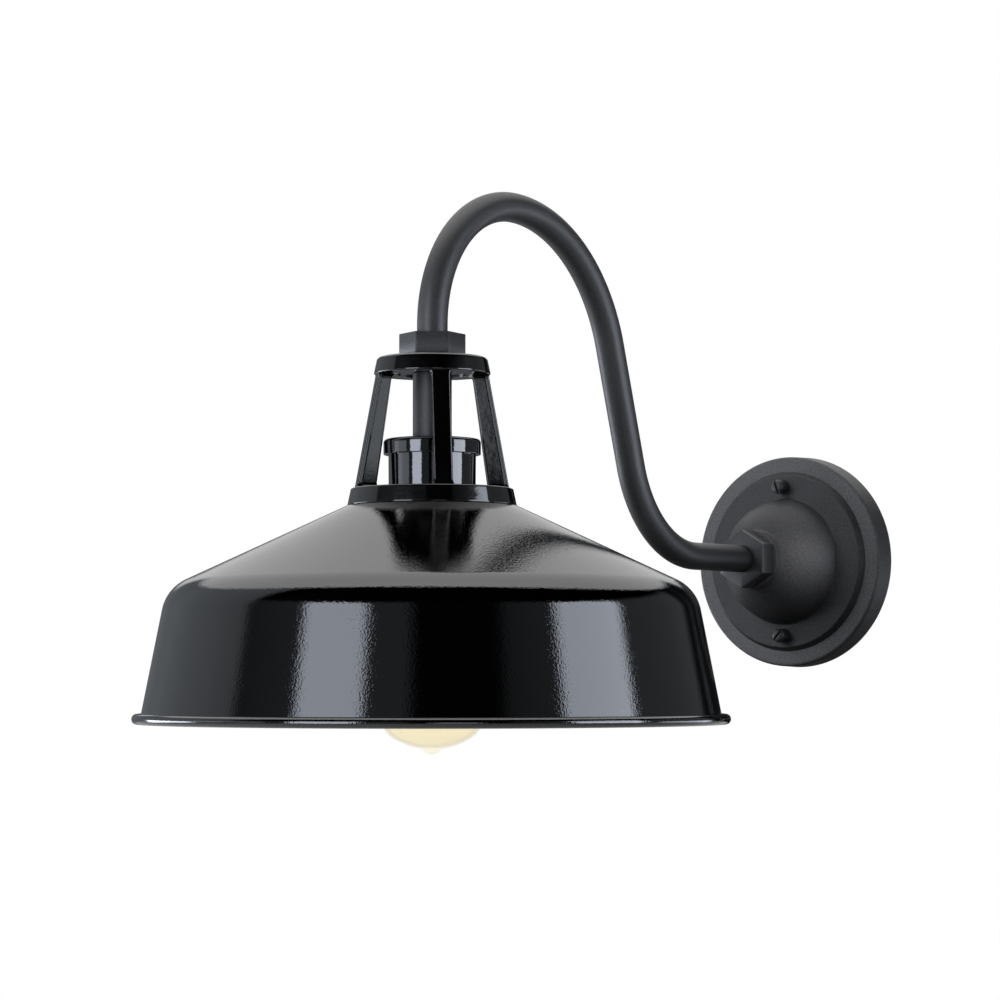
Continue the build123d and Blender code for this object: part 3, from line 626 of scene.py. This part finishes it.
def arm_stations():
    """Centre line of the arm as (distance out, height, direction in degrees)."""
    turn = math.radians(RISE_ANGLE)
    bends_rise = (LOWER_BEND + UPPER_BEND) * (1 - math.cos(turn))
    riser = (ARM_RISE - bends_rise) / math.sin(turn)
    bends_reach = (LOWER_BEND + UPPER_BEND) * math.sin(turn) + riser * math.cos(turn)
    run_end = ARM_REACH - CROOK - bends_reach
    stations = [(ARM_START, 0.0, 0.0)]
    for i in range(1, 9):
        stations.append((ARM_START + (run_end - ARM_START) * i / 8, 0.0, 0.0))

    def bend(radius, start, end):
        u, z, _ = stations[-1]
        side = 1 if end > start else -1
        cu = u - side * radius * math.sin(math.radians(start))
        cz = z + side * radius * math.cos(math.radians(start))
        steps = int(abs(end - start) / 1.5)
        for i in range(1, steps + 1):
            angle = start + (end - start) * i / steps
            a = math.radians(angle)
            reach = side * radius
            stations.append((cu + reach * math.sin(a), cz - reach * math.cos(a), angle))

    def straight(length, steps):
        u, z, angle = stations[-1]
        a = math.radians(angle)
        for i in range(1, steps + 1):
            part = length * i / steps
            stations.append((u + part * math.cos(a), z + part * math.sin(a), angle))

    bend(LOWER_BEND, 0, RISE_ANGLE)
    straight(riser, 8)
    bend(UPPER_BEND, RISE_ANGLE, 0)
    bend(CROOK, 0, -90)
    straight(ARM_RISE - CROOK - ARM_END, 8)
    return stations


def arm_tube(segments=72):
    """Bent tube, with its bore, along the arm's centre line."""
    bm = bmesh.new()
    skins = []
    for radius in (TUBE_RADIUS, TUBE_BORE):
        rings = []
        for u, z, angle in arm_stations():
            a = math.radians(angle)
            ring = []
            for i in range(segments):
                turn = 2 * math.pi * i / segments
                lift = radius * math.cos(turn)
                out = u - lift * math.sin(a)
                point = Vector((radius * math.sin(turn), -out, z + lift * math.cos(a)))
                ring.append(bm.verts.new(point * MM))
            rings.append(ring)
        for here, there in zip(rings, rings[1:]):
            for i in range(segments):
                k = (i + 1) % segments
                bm.faces.new((here[i], here[k], there[k], there[i]))
        skins.append(rings)
    for end in (0, -1):
        outer, inner = skins[0][end], skins[1][end]
        for i in range(segments):
            k = (i + 1) % segments
            bm.faces.new((outer[i], outer[k], inner[k], inner[i]))
    bmesh.ops.recalc_face_normals(bm, faces=bm.faces)
    mesh = bpy.data.meshes.new("gooseneck_tube")
    bm.to_mesh(mesh)
    bm.free()
    smooth(mesh)
    return mesh


put("gooseneck_tube", arm_tube(), "fixture", [grey_coat], ["gooseneck_arm"])


# Cage

cap_outline = rounded([
    (TUBE_HOLE, CAP_PLATE_BOTTOM, 0), (TUBE_HOLE, CAGE_TOP, 0),
    (CAP_RADIUS - CAGE_DRAFT, CAGE_TOP, 2.4), (CAP_RADIUS, CAP_BOTTOM, 0.8),
    (CAP_RECESS, CAP_BOTTOM, 0.3), (CAP_RECESS, CAP_PLATE_BOTTOM, 0.3),
])
ring_outline = rounded([
    (RING_BORE, CAGE_BOTTOM, 0.5), (RING_RADIUS, CAGE_BOTTOM, 0.5),
    (RING_RADIUS - CAGE_DRAFT, RING_TOP, 1.2), (RING_BORE, RING_TOP, 0.8),
])


def strut_root(height):
    """How far a strut swells where it grows out of the cap or the ring."""
    reach = min(height - RING_TOP, CAP_BOTTOM - height)
    short = STRUT_ROOT - min(max(reach, 0.0), STRUT_ROOT)
    return STRUT_ROOT - math.sqrt(STRUT_ROOT**2 - short**2)


def strut_section(height):
    """T-section of a strut at a height, with softened edges."""
    fall = (CAP_BOTTOM - height) / (CAP_BOTTOM - RING_TOP)
    root = strut_root(height)
    outer = STRUT_TOP_RADIUS + (STRUT_FOOT_RADIUS - STRUT_TOP_RADIUS) * fall
    shoulder = outer - STRUT_FLANGE_DEPTH - root * 0.5
    inner = outer - STRUT_TOP_DEPTH - (STRUT_FOOT_DEPTH - STRUT_TOP_DEPTH) * fall - root
    flange = STRUT_FLANGE + root * 0.4
    web = STRUT_WEB + root
    ledge = max(flange, web + 0.9)
    return rounded([
        (outer, -flange, 1.2), (outer, flange, 1.2), (shoulder, ledge, 0.6), (shoulder, web, 0.25),
        (inner, web, 0.9), (inner, -web, 0.9), (shoulder, -web, 0.25), (shoulder, -ledge, 0.6),
    ], steps=4, hold=0.1)


def strut_mesh():
    """One strut of the cage, standing on the lamp axis's own coordinates."""
    bm = bmesh.new()
    steps = [STRUT_ROOT * (1 - math.cos(math.radians(15 * i))) for i in range(7)]
    heights = [RING_TOP - STRUT_SINK] + [RING_TOP + step for step in steps]
    heights += [CAP_BOTTOM - step for step in reversed(steps)] + [CAP_BOTTOM + STRUT_SINK]
    rings = []
    for height in heights:
        section = strut_section(height)
        rings.append([bm.verts.new(Vector((x, y, height)) * MM) for x, y in section])
    count = len(rings[0])
    for low, high in zip(rings, rings[1:]):
        for i in range(count):
            k = (i + 1) % count
            bm.faces.new((low[i], low[k], high[k], high[i]))
    bm.faces.new(rings[0])
    bm.faces.new(rings[-1])
    bmesh.ops.recalc_face_normals(bm, faces=bm.faces)
    mesh = bpy.data.meshes.new("strut")
    bm.to_mesh(mesh)
    bm.free()
    smooth(mesh)
    return mesh


def joined(name, parts, material):
    """One mesh from several, with one finish."""
    bm = bmesh.new()
    for part in parts:
        bm.from_mesh(part)
    mesh = bpy.data.meshes.new(name)
    bm.to_mesh(mesh)
    bm.free()
    mesh.materials.append(material)
    for face in mesh.polygons:
        face.material_index = 0
    return mesh


struts = grow("cage_struts", ring_of_copies, strut_mesh(), {
    "Count": STRUT_COUNT,
    "Start Angle": math.radians(STRUT_START),
    "Center": lamp_foot,
    "Finish": cast_enamel,
})
cage_parts = [
    lathe("cage_cap", cap_outline, around_lamp),
    lathe("cage_ring", ring_outline, around_lamp),
    struts,
]
cage_mesh = joined("cage_casting", cage_parts, cast_enamel)
put("cage_casting", cage_mesh, "fixture", [], ["shade_cage"])

sleeve_outline = [
    (NIPPLE_HOLE, LID_TOP), (SLEEVE_RADIUS, LID_TOP),
    (SLEEVE_RADIUS, CAP_PLATE_BOTTOM - SLEEVE_EDGE),
    (SLEEVE_RADIUS - SLEEVE_EDGE, CAP_PLATE_BOTTOM), (TUBE_HOLE, CAP_PLATE_BOTTOM),
    (TUBE_HOLE, ARM_END), (NIPPLE_HOLE, ARM_END),
]
sleeve_mesh = lathe("stem_tube", sleeve_outline, around_lamp, 96)
# The stem sleeve takes the arm's coat painted darker, as painted shade
put("stem_tube", sleeve_mesh, "fixture", [stem_shaded_coat], ["stem_sleeve"])

lid_outline = rounded([
    (NIPPLE_HOLE, LID_PLATE_BOTTOM, 0), (NIPPLE_HOLE, LID_TOP, 0), (LID_RADIUS, LID_TOP, 2.4),
    (LID_RADIUS, LID_BOTTOM, 0.5), (LID_BORE, LID_BOTTOM, 0.2), (LID_BORE, LID_PLATE_BOTTOM, 0),
])
lid_mesh = lathe("cup_cover", lid_outline, around_lamp)
put("cup_cover", lid_mesh, "fixture", [cup_enamel], ["cup_lid"])

cup_outline = rounded([
    (CUP_RADIUS - CUP_WALL, CUP_TOP, 0), (CUP_RADIUS, CUP_TOP, 0),
    (CUP_FOOT_RADIUS, CUP_BOTTOM, 0.6), (CUP_FOOT_RADIUS - CUP_WALL, CUP_BOTTOM, 0.6),
])
cup_mesh = lathe("lamp_cup", cup_outline, around_lamp)
put("lamp_cup", cup_mesh, "fixture", [cup_enamel], ["socket_cup"])


# Shade

cone_fall = (SHOULDER_RADIUS - RING_RADIUS) * math.tan(math.radians(SHADE_SLOPE))
shoulder_height = CAGE_BOTTOM - cone_fall
drum_end = SHADE_RADIUS - 2 * BEAD_RADIUS + SHEET
bead_center = (SHADE_RADIUS - BEAD_RADIUS, BEAD_HEIGHT)


def offset_line(start, end, distance):
    """Line of a section moved to its right-hand side."""
    along = (Vector(end) - Vector(start)).normalized()
    side = Vector((along.y, -along.x)) * distance
    return Vector(start) + side, Vector(end) + side


def meet(a, b, c, d):
    """Point where the lines a-b and c-d cross."""
    p, q = b - a, d - c
    part = ((c.x - a.x) * q.y - (c.y - a.y) * q.x) / (p.x * q.y - p.y * q.x)
    return a + p * part


neck_edge = (SHADE_NECK, CAGE_BOTTOM)
neck_corner = (RING_RADIUS, CAGE_BOTTOM)
shoulder_corner = (SHOULDER_RADIUS, shoulder_height)
drum_foot = (drum_end, BEAD_HEIGHT)
neck_in = offset_line(neck_edge, neck_corner, SHEET)
cone_in = offset_line(neck_corner, shoulder_corner, SHEET)
drum_in = offset_line(shoulder_corner, drum_foot, SHEET)
inner_neck_corner = meet(*neck_in, *cone_in)
inner_shoulder_corner = meet(*cone_in, *drum_in)


def bead_touch(start, end):
    """Point where a line down the drum enters the rolled rim, and its angle there."""
    start, end = Vector(start), Vector(end)
    along = (end - start).normalized()
    center = Vector(bead_center)
    near = (center - start).dot(along)
    gap = (center - start - along * near).length
    spot = start + along * (near - math.sqrt(max(BEAD_RADIUS**2 - gap**2, 0)))
    return spot, math.degrees(math.atan2(spot.y - center.y, spot.x - center.x))


outer_touch, outer_angle = bead_touch(shoulder_corner, drum_foot)
inner_touch, inner_angle = bead_touch(*drum_in)
outside = rounded([
    (*neck_edge, 0), (*neck_corner, NECK_ROUND),
    (*shoulder_corner, SHOULDER_ROUND), (*outer_touch, 0),
], steps=20)[:-1]
bead = arc(bead_center, BEAD_RADIUS, outer_angle, inner_angle % 360 - 360, 44)
inside = rounded([
    (*neck_in[0], 0), (*inner_neck_corner, NECK_ROUND - SHEET),
    (*inner_shoulder_corner, SHOULDER_ROUND - SHEET), (*inner_touch, 0),
], steps=20)[:-1]
shade_outline = outside + bead + inside[::-1]
white_from = len(outside) + len(bead) - 1


def shade_paint(j):
    """Material of a strip of the shade: black outside, white inside."""
    return 1 if j >= white_from else 0


shade_mesh = lathe("shade_spinning", shade_outline, around_lamp, 384, paint=shade_paint)
shade_coats = [black_enamel, white_enamel]
put("shade_spinning", shade_mesh, "fixture", shade_coats, ["shade"])


# Bulb

shoulder_circle = BULB_RADIUS - BULB_SHOULDER
end_offset = math.sqrt((BULB_END - BULB_SHOULDER) ** 2 - shoulder_circle**2)
end_center = BULB_TIP + BULB_PIP_HEIGHT + BULB_END
shoulder_center = end_center - end_offset
end_angle = math.degrees(math.atan2(-end_offset, shoulder_circle))
lean = Vector((shoulder_circle - NECK_RADIUS, shoulder_center - BASE_RIM))
taper_angle = math.degrees(math.atan2(lean.y, lean.x) + math.acos(-BULB_SHOULDER / lean.length))


def bulb_side(inset):
    """Half outline of the glass from its lowest point up to the neck."""
    neck = NECK_RADIUS - inset
    low = arc((0, end_center), BULB_END - inset, -90, end_angle, 24)
    center = (shoulder_circle, shoulder_center)
    swell = arc(center, BULB_SHOULDER - inset, end_angle, taper_angle, 40)
    side = swell[-1]
    bend = side[1] + (side[0] - neck) / math.tan(math.radians(taper_angle))
    return low, swell, [(neck, bend), (neck, NECK_TOP)]


def run_up(start, end):
    """Points along the taper between two others."""
    points = []
    for part in (0.05, 0.25, 0.5, 0.75, 0.95):
        points.append(tuple(a + (b - a) * part for a, b in zip(start, end)))
    return points


def bulb_outline():
    """Closed section of the glass wall, whose bowl runs out into the sealed pip."""
    pip_center = BULB_TIP + BULB_PIP_RADIUS
    bowl_reach = BULB_END + BULB_PIP_FLARE
    pip_reach = BULB_PIP_RADIUS + BULB_PIP_FLARE
    gap = end_center - pip_center
    drop = (bowl_reach**2 - pip_reach**2 - gap**2) / (2 * gap)
    hollow = (math.sqrt(pip_reach**2 - drop**2), pip_center - drop)
    bowl_foot = math.degrees(math.atan2(hollow[1] - end_center, hollow[0]))
    pip_root = math.degrees(math.atan2(-drop, hollow[0]))
    pip = arc((0, pip_center), BULB_PIP_RADIUS, -90, pip_root, 12)
    flare = arc(hollow, BULB_PIP_FLARE, pip_root + 180, bowl_foot + 180, 12)
    bowl = arc((0, end_center), BULB_END, bowl_foot, end_angle, 24)
    _, swell, neck = bulb_side(0)
    in_low, in_swell, in_neck = bulb_side(BULB_WALL)
    outer = pip + flare[1:] + bowl[1:] + swell[1:] + run_up(swell[-1], neck[0]) + neck
    inner = in_low + in_swell[1:] + run_up(in_swell[-1], in_neck[0]) + in_neck
    return outer + inner[::-1]


glass_mesh = lathe("bulb_envelope", bulb_outline(), around_lamp, 192, closed=False)
put("bulb_envelope", glass_mesh, "bulb", [amber_glass], ["bulb_glass"])

root_radius = BASE_RADIUS - THREAD_DEPTH
root_bore = root_radius - BASE_WALL
skirt_bore = BASE_RADIUS - BASE_WALL
skirt_end = BASE_RIM + BASE_SKIRT
root_end = skirt_end + BASE_STEP
base_outline = [
    (root_radius, root_end), (BASE_RADIUS, skirt_end), (BASE_RADIUS, BASE_RIM),
    (skirt_bore, BASE_RIM), (skirt_bore, skirt_end - BASE_FOLD), (root_bore, root_end - BASE_FOLD),
    (root_bore, BASE_SHOULDER - BASE_FOLD), (BASE_TOP_RADIUS - BASE_WALL, BASE_TOP),
    (BASE_TOP_RADIUS, BASE_TOP), (root_radius, BASE_SHOULDER),
]
base_thread = grow("base_thread", rolled_thread, bpy.data.meshes.new("blank"), {
    "Turns": THREAD_TURNS,
    "Radius": (BASE_RADIUS - THREAD_BEAD) * MM,
    "Height": THREAD_TURNS * THREAD_PITCH * MM,
    "Bead": THREAD_BEAD * MM,
    "Foot": lamp_foot + Vector((0, 0, (BASE_RIM + THREAD_START) * MM)),
    "Finish": brass,
})
base_parts = [lathe("cap_shell", base_outline, around_lamp, 128), base_thread]
base_mesh = joined("bulb_cap", base_parts, brass)
put("bulb_cap", base_mesh, "bulb", [], ["bulb_base"])


# Finishes of the CAD pieces that stay

kept = [
    (rubber, ["wall_gasket", "lid_gasket"]),
    (grey_coat, ["canopy_screws"]),
    (earth_green, ["ground_screw"]),
    (nylon, ["wire_bushing"]),
    (zinc_steel, [
        "mounting_strap", "arm_lock_washer", "arm_lock_nut", "socket_nipple", "nipple_lock_nuts",
        "socket_bracket", "bracket_screws", "shade_clamp_ring", "shade_screws",
    ]),
    (porcelain, ["lampholder_body"]),
    (brass, ["lampholder_shell", "lampholder_contact", "terminal_screws"]),
    (clear_glass, ["bulb_stem"]),
    (filament_wire, ["filament", "filament_supports"]),
    (black_glass, ["bulb_insulator"]),
    (solder, ["bulb_contact"]),
]
for material, names in kept:
    for name in names:
        nodes[name].data.materials.clear()
        nodes[name].data.materials.append(material)


# Studio

FLOOR_HEIGHT = -1.0
FLOOR_RADIUS = 6.0
FLOOR_GLOW = 0.36
CAMERA_PLACE = (1.11617, -1.82739, -0.08158)
CAMERA_YAW = 37.12
CAMERA_PITCH = 3.38
CAMERA_LENS = 108.1
LAMP_CENTER = Vector((0, -0.42, -0.06))
LAMP_DISTANCE = 2.4
LAMP_BLUE = (0.81, 0.87, 1.0)
KEY_WHITE = (0.95, 0.97, 1.0)
SNOOT_TARGET = Vector((0.034, -0.0475, 0.006))
SNOOT_DISTANCE = 1.6
SNOOT_ANGLE = 1.95
SNOOT_POWER = 230.0
NET_SIDE = 0.13
FLAG_HEIGHT = -0.1
SWEEP_TONE = 3.1
SWEEP_RISE = 2.27
SWEEP_LIMIT = 3.6
SWEEP_DIFFUSE = 0.15
CARD_TONE = 2.2
ROOM_TINT = (0.93, 1.0, 1.08, 1)
WHITE = (1, 1, 1, 1)
toward_camera = math.radians(CAMERA_YAW - 90)


def direction(side_angle, height_angle):
    """Direction from the shade, by angle round from the camera's side and angle up."""
    turn = toward_camera + math.radians(side_angle)
    up = math.radians(height_angle)
    return Vector((math.cos(turn) * math.cos(up), math.sin(turn) * math.cos(up), math.sin(up)))


def aim(light, target, way, distance):
    """Links a lamp that faces a point from one side, out of sight of the camera and the glass."""
    lamp = bpy.data.objects.new(light.name, light)
    bpy.context.scene.collection.objects.link(lamp)
    lamp.location = target + way * distance
    lamp.rotation_euler = way.to_track_quat("Z", "Y").to_euler()
    lamp.visible_camera = False
    lamp.visible_transmission = False
    return lamp


def softbox(name, sides, heights, radiance, color):
    """Rectangular lamp that faces the shade and fills a range of side and height angles."""
    width = 2 * LAMP_DISTANCE * math.tan(math.radians(sides[1] - sides[0]) / 2)
    height = 2 * LAMP_DISTANCE * math.tan(math.radians(heights[1] - heights[0]) / 2)
    light = bpy.data.lights.new(name, "AREA")
    light.shape = "RECTANGLE"
    light.size = width
    light.size_y = height
    light.energy = radiance * math.pi * width * height
    light.color = color
    way = direction(sum(sides) / 2, sum(heights) / 2)
    return aim(light, LAMP_CENTER, way, LAMP_DISTANCE)


# Lamps seen only as reflections: strips on the drum, and low panels that edge the arm and its
# hexagon
mirror_lamps = [
    ("left_softbox", (-52, -26), (-11, 25), 6.2),
    ("left_core", (-51, -27), (-12, 12), 4.0),
    ("right_softbox", (54, 85.5), (-11, 25), 6.2),
    ("right_core", (54.5, 84.5), (-12, 12), 4.0),
    ("left_panel", (-98, -62), (-2, 9), 2.0),
    ("rear_left_panel", (-132, -98), (-14, 1), 11.0),
    ("rear_right_panel", (95, 130), (-14, 1), 3.6),
]
for name, sides, heights, radiance in mirror_lamps:
    softbox(name, sides, heights, radiance, LAMP_BLUE).visible_diffuse = False
softbox("key_softbox", (-84, -40), (14, 46), 9.0, KEY_WHITE).visible_glossy = False

# Narrow lamp on the front of the canopy's dome
snoot = bpy.data.lights.new("dome_snoot", "SPOT")
snoot.spot_size = math.radians(SNOOT_ANGLE)
snoot.spot_blend = 1.0
snoot.shadow_soft_size = 0.02
snoot.energy = SNOOT_POWER
aim(snoot, SNOOT_TARGET, direction(12, 9), SNOOT_DISTANCE).visible_glossy = False


def flag(name, corners, cover):
    """Dark cloth that shades the wall end; a cover below 1 lets part of the light through."""
    mesh = bpy.data.meshes.new(name)
    mesh.from_pydata(corners, [], [(0, 1, 2, 3)])
    cloth, tree, shader, where = node_material(name + "_cloth")
    shader.inputs["Alpha"].default_value = cover
    weave = two_tone(tree, noise(tree, where, 900.0), (0.01, 0.01, 0.01), (0.02, 0.02, 0.02))
    tree.links.new(weave, shader.inputs["Base Color"])
    mesh.materials.append(cloth)
    screen = bpy.data.objects.new(name, mesh)
    screen.visible_camera = False
    bpy.context.scene.collection.objects.link(screen)


flag("side_net", [
    (NET_SIDE, -0.1, -0.25), (NET_SIDE, 0.35, -0.25), (NET_SIDE, 0.35, 0.12), (NET_SIDE, -0.1, 0.12),
], 0.55)
flag("under_flag", [
    (-0.2, -0.22, FLAG_HEIGHT), (NET_SIDE, -0.22, FLAG_HEIGHT),
    (NET_SIDE, 0.1, FLAG_HEIGHT), (-0.2, 0.1, FLAG_HEIGHT),
], 1.0)


def math_node(tree, operation, a, b=0.0):
    """Math node of a tree, with links or numbers as inputs."""
    node = tree.nodes.new("ShaderNodeMath")
    node.operation = operation
    for slot_number, value in enumerate((a, b)):
        if isinstance(value, (int, float)):
            node.inputs[slot_number].default_value = value
        else:
            tree.links.new(value, node.inputs[slot_number])
    return node.outputs[0]


floor_mesh = bpy.data.meshes.new("floor")
floor_bm = bmesh.new()
bmesh.ops.create_circle(floor_bm, cap_ends=True, segments=96, radius=FLOOR_RADIUS)
floor_bm.to_mesh(floor_mesh)
floor_bm.free()
floor = bpy.data.objects.new("floor", floor_mesh)
floor.location = (0, -0.3, FLOOR_HEIGHT)
bpy.context.scene.collection.objects.link(floor)
floor_paint, floor_nodes, floor_shader, floor_where = node_material("floor_paint")
floor_cloud = noise(floor_nodes, floor_where, 3.0)
floor_tone = two_tone(floor_nodes, floor_cloud, (0.78, 0.78, 0.78), (0.82, 0.82, 0.82))
floor_nodes.links.new(floor_tone, floor_shader.inputs["Base Color"])
floor_shader.inputs["Roughness"].default_value = 0.9
# The floor stays pale to the eye and in metal and glass, and still takes a shadow
floor_shader.inputs["Emission Color"].default_value = WHITE
floor_path = floor_nodes.nodes.new("ShaderNodeLightPath").outputs
floor_seen = floor_path["Is Camera Ray"]
for kind in ("Is Glossy Ray", "Is Transmission Ray"):
    floor_seen = math_node(floor_nodes, "MAXIMUM", floor_seen, floor_path[kind])
floor_glow = math_node(floor_nodes, "MULTIPLY", floor_seen, FLOOR_GLOW)
floor_nodes.links.new(floor_glow, floor_shader.inputs["Emission Strength"])
floor_mesh.materials.append(floor_paint)

world = bpy.data.worlds.new("studio")
bpy.context.scene.world = world
world.use_nodes = True
sky = world.node_tree
for node in list(sky.nodes):
    sky.nodes.remove(node)
sky_place = sky.nodes.new("ShaderNodeTexCoord")


def sky_math(operation, a, b=0.0):
    """Math node of the world."""
    return math_node(sky, operation, a, b)


def sky_step(value, low, high):
    """Smooth step of a world value from 0 at low to 1 at high."""
    node = sky.nodes.new("ShaderNodeMapRange")
    node.interpolation_type = "SMOOTHSTEP"
    node.inputs["From Min"].default_value = low
    node.inputs["From Max"].default_value = high
    sky.links.new(value, node.inputs["Value"])
    return node.outputs["Result"]


def sky_without(value):
    """What a share leaves of the whole."""
    return sky_math("SUBTRACT", 1.0, value)


def sky_band(value, rise, fall):
    """Share that rises over one range of a world value and falls over another."""
    return sky_math("MULTIPLY", sky_step(value, *rise), sky_without(sky_step(value, *fall)))


def sky_along(way):
    """How far the ray's direction points along a given one."""
    node = sky.nodes.new("ShaderNodeVectorMath")
    node.operation = "DOT_PRODUCT"
    node.inputs[1].default_value = way
    sky.links.new(sky_place.outputs["Generated"], node.inputs[0])
    return node.outputs["Value"]


def sky_ramp(value, stops):
    """Tone of the studio walls by side angle, from stops of (angle, tone)."""
    node = sky.nodes.new("ShaderNodeValToRGB")
    ramp = node.color_ramp
    for _ in stops[2:]:
        ramp.elements.new(0.5)
    for element, (angle, tone) in zip(ramp.elements, stops):
        element.position = angle / 360 + 0.5
        element.color = (tone, tone, tone, 1)
    sky.links.new(sky_math("ADD", sky_math("DIVIDE", value, 360), 0.5), node.inputs["Fac"])
    return node.outputs["Color"]


frontward = sky_along(direction(0, 0))
sideward = sky_along(direction(90, 0))
side_angle = sky_math("DEGREES", sky_math("ARCTAN2", sideward, frontward))
height_angle = sky_math("DEGREES", sky_math("ARCSINE", sky_along((0, 0, 1))))
# Walls of the studio: a pale one on the left, grey ones on both sides, dark ones in front and
# at the right rear
walls = sky_ramp(side_angle, [
    (-180, 0.1), (-170, 0.14), (-148, 0.29), (-138, 0.43), (-124, 0.56), (-103, 0.72),
    (-85, 0.68), (-83, 0.13), (-54, 0.26), (-9, 0.3), (-6, 0.008), (29, 0.008),
    (33, 0.16), (50, 0.24), (88, 0.32), (136, 0.2), (138, 0.012), (180, 0.012),
])
other_walls = sky_step(side_angle, -85, -83)
ceiling = sky_math("MULTIPLY", sky_step(height_angle, 24, 30), other_walls)
room = sky_math("MULTIPLY", walls, sky_without(ceiling))
# White sweep behind and above the light, brightest overhead and weak on matt surfaces
overhead = sky_step(sky_along(direction(180, 65.5)), 0.71, 0.735)
rear = sky_step(sky_math("ABSOLUTE", side_angle), 159, 164)
behind = sky_math("MULTIPLY", rear, sky_step(height_angle, 8, 12))
sweep_edge = sky_math("MAXIMUM", overhead, behind)
sweep_rise = sky_math("ADD", SWEEP_TONE, sky_math("MULTIPLY", frontward, SWEEP_RISE))
sweep_tone = sky_math("MINIMUM", SWEEP_LIMIT, sweep_rise)
path = sky.nodes.new("ShaderNodeLightPath").outputs
sweep_gloss = sky_math("MULTIPLY", path["Is Glossy Ray"], 1 - SWEEP_DIFFUSE)
sweep_share = sky_math("ADD", SWEEP_DIFFUSE, sweep_gloss)
sweep = sky_math("MULTIPLY", sky_math("MULTIPLY", sweep_edge, sweep_tone), sweep_share)
# Low fill card in front
card_side = sky_band(side_angle, (0, 3), (18, 21))
card_height = sky_band(height_angle, (-16, -12), (8, 12))
fill_card = sky_math("MULTIPLY", sky_math("MULTIPLY", card_side, card_height), CARD_TONE)
studio_light = sky_math("MAXIMUM", sky_math("MAXIMUM", sweep, room), fill_card)
# Plain white for the camera and through the glass
plain = sky_math("MAXIMUM", path["Is Camera Ray"], path["Is Transmission Ray"])
level = sky_math("ADD", sky_math("MULTIPLY", studio_light, sky_without(plain)), plain)
tint = sky.nodes.new("ShaderNodeMix")
tint.data_type = "RGBA"
tint.inputs["A"].default_value = ROOM_TINT
tint.inputs["B"].default_value = WHITE
shine = sky.nodes.new("ShaderNodeBackground")
sky_out = sky.nodes.new("ShaderNodeOutputWorld")
sky.links.new(sky_math("MAXIMUM", plain, sweep_edge), tint.inputs["Factor"])
sky.links.new(tint.outputs["Result"], shine.inputs["Color"])
sky.links.new(level, shine.inputs["Strength"])
sky.links.new(shine.outputs[0], sky_out.inputs["Surface"])

camera_data = bpy.data.cameras.new("camera")
camera_data.sensor_width = 36
camera_data.lens = CAMERA_LENS
camera = bpy.data.objects.new("camera", camera_data)
camera.location = CAMERA_PLACE
camera.rotation_euler = (math.radians(90 + CAMERA_PITCH), 0, math.radians(CAMERA_YAW))
bpy.context.scene.collection.objects.link(camera)
bpy.context.scene.camera = camera
bpy.context.scene.view_settings.view_transform = "Standard"

bpy.context.view_layer.update()
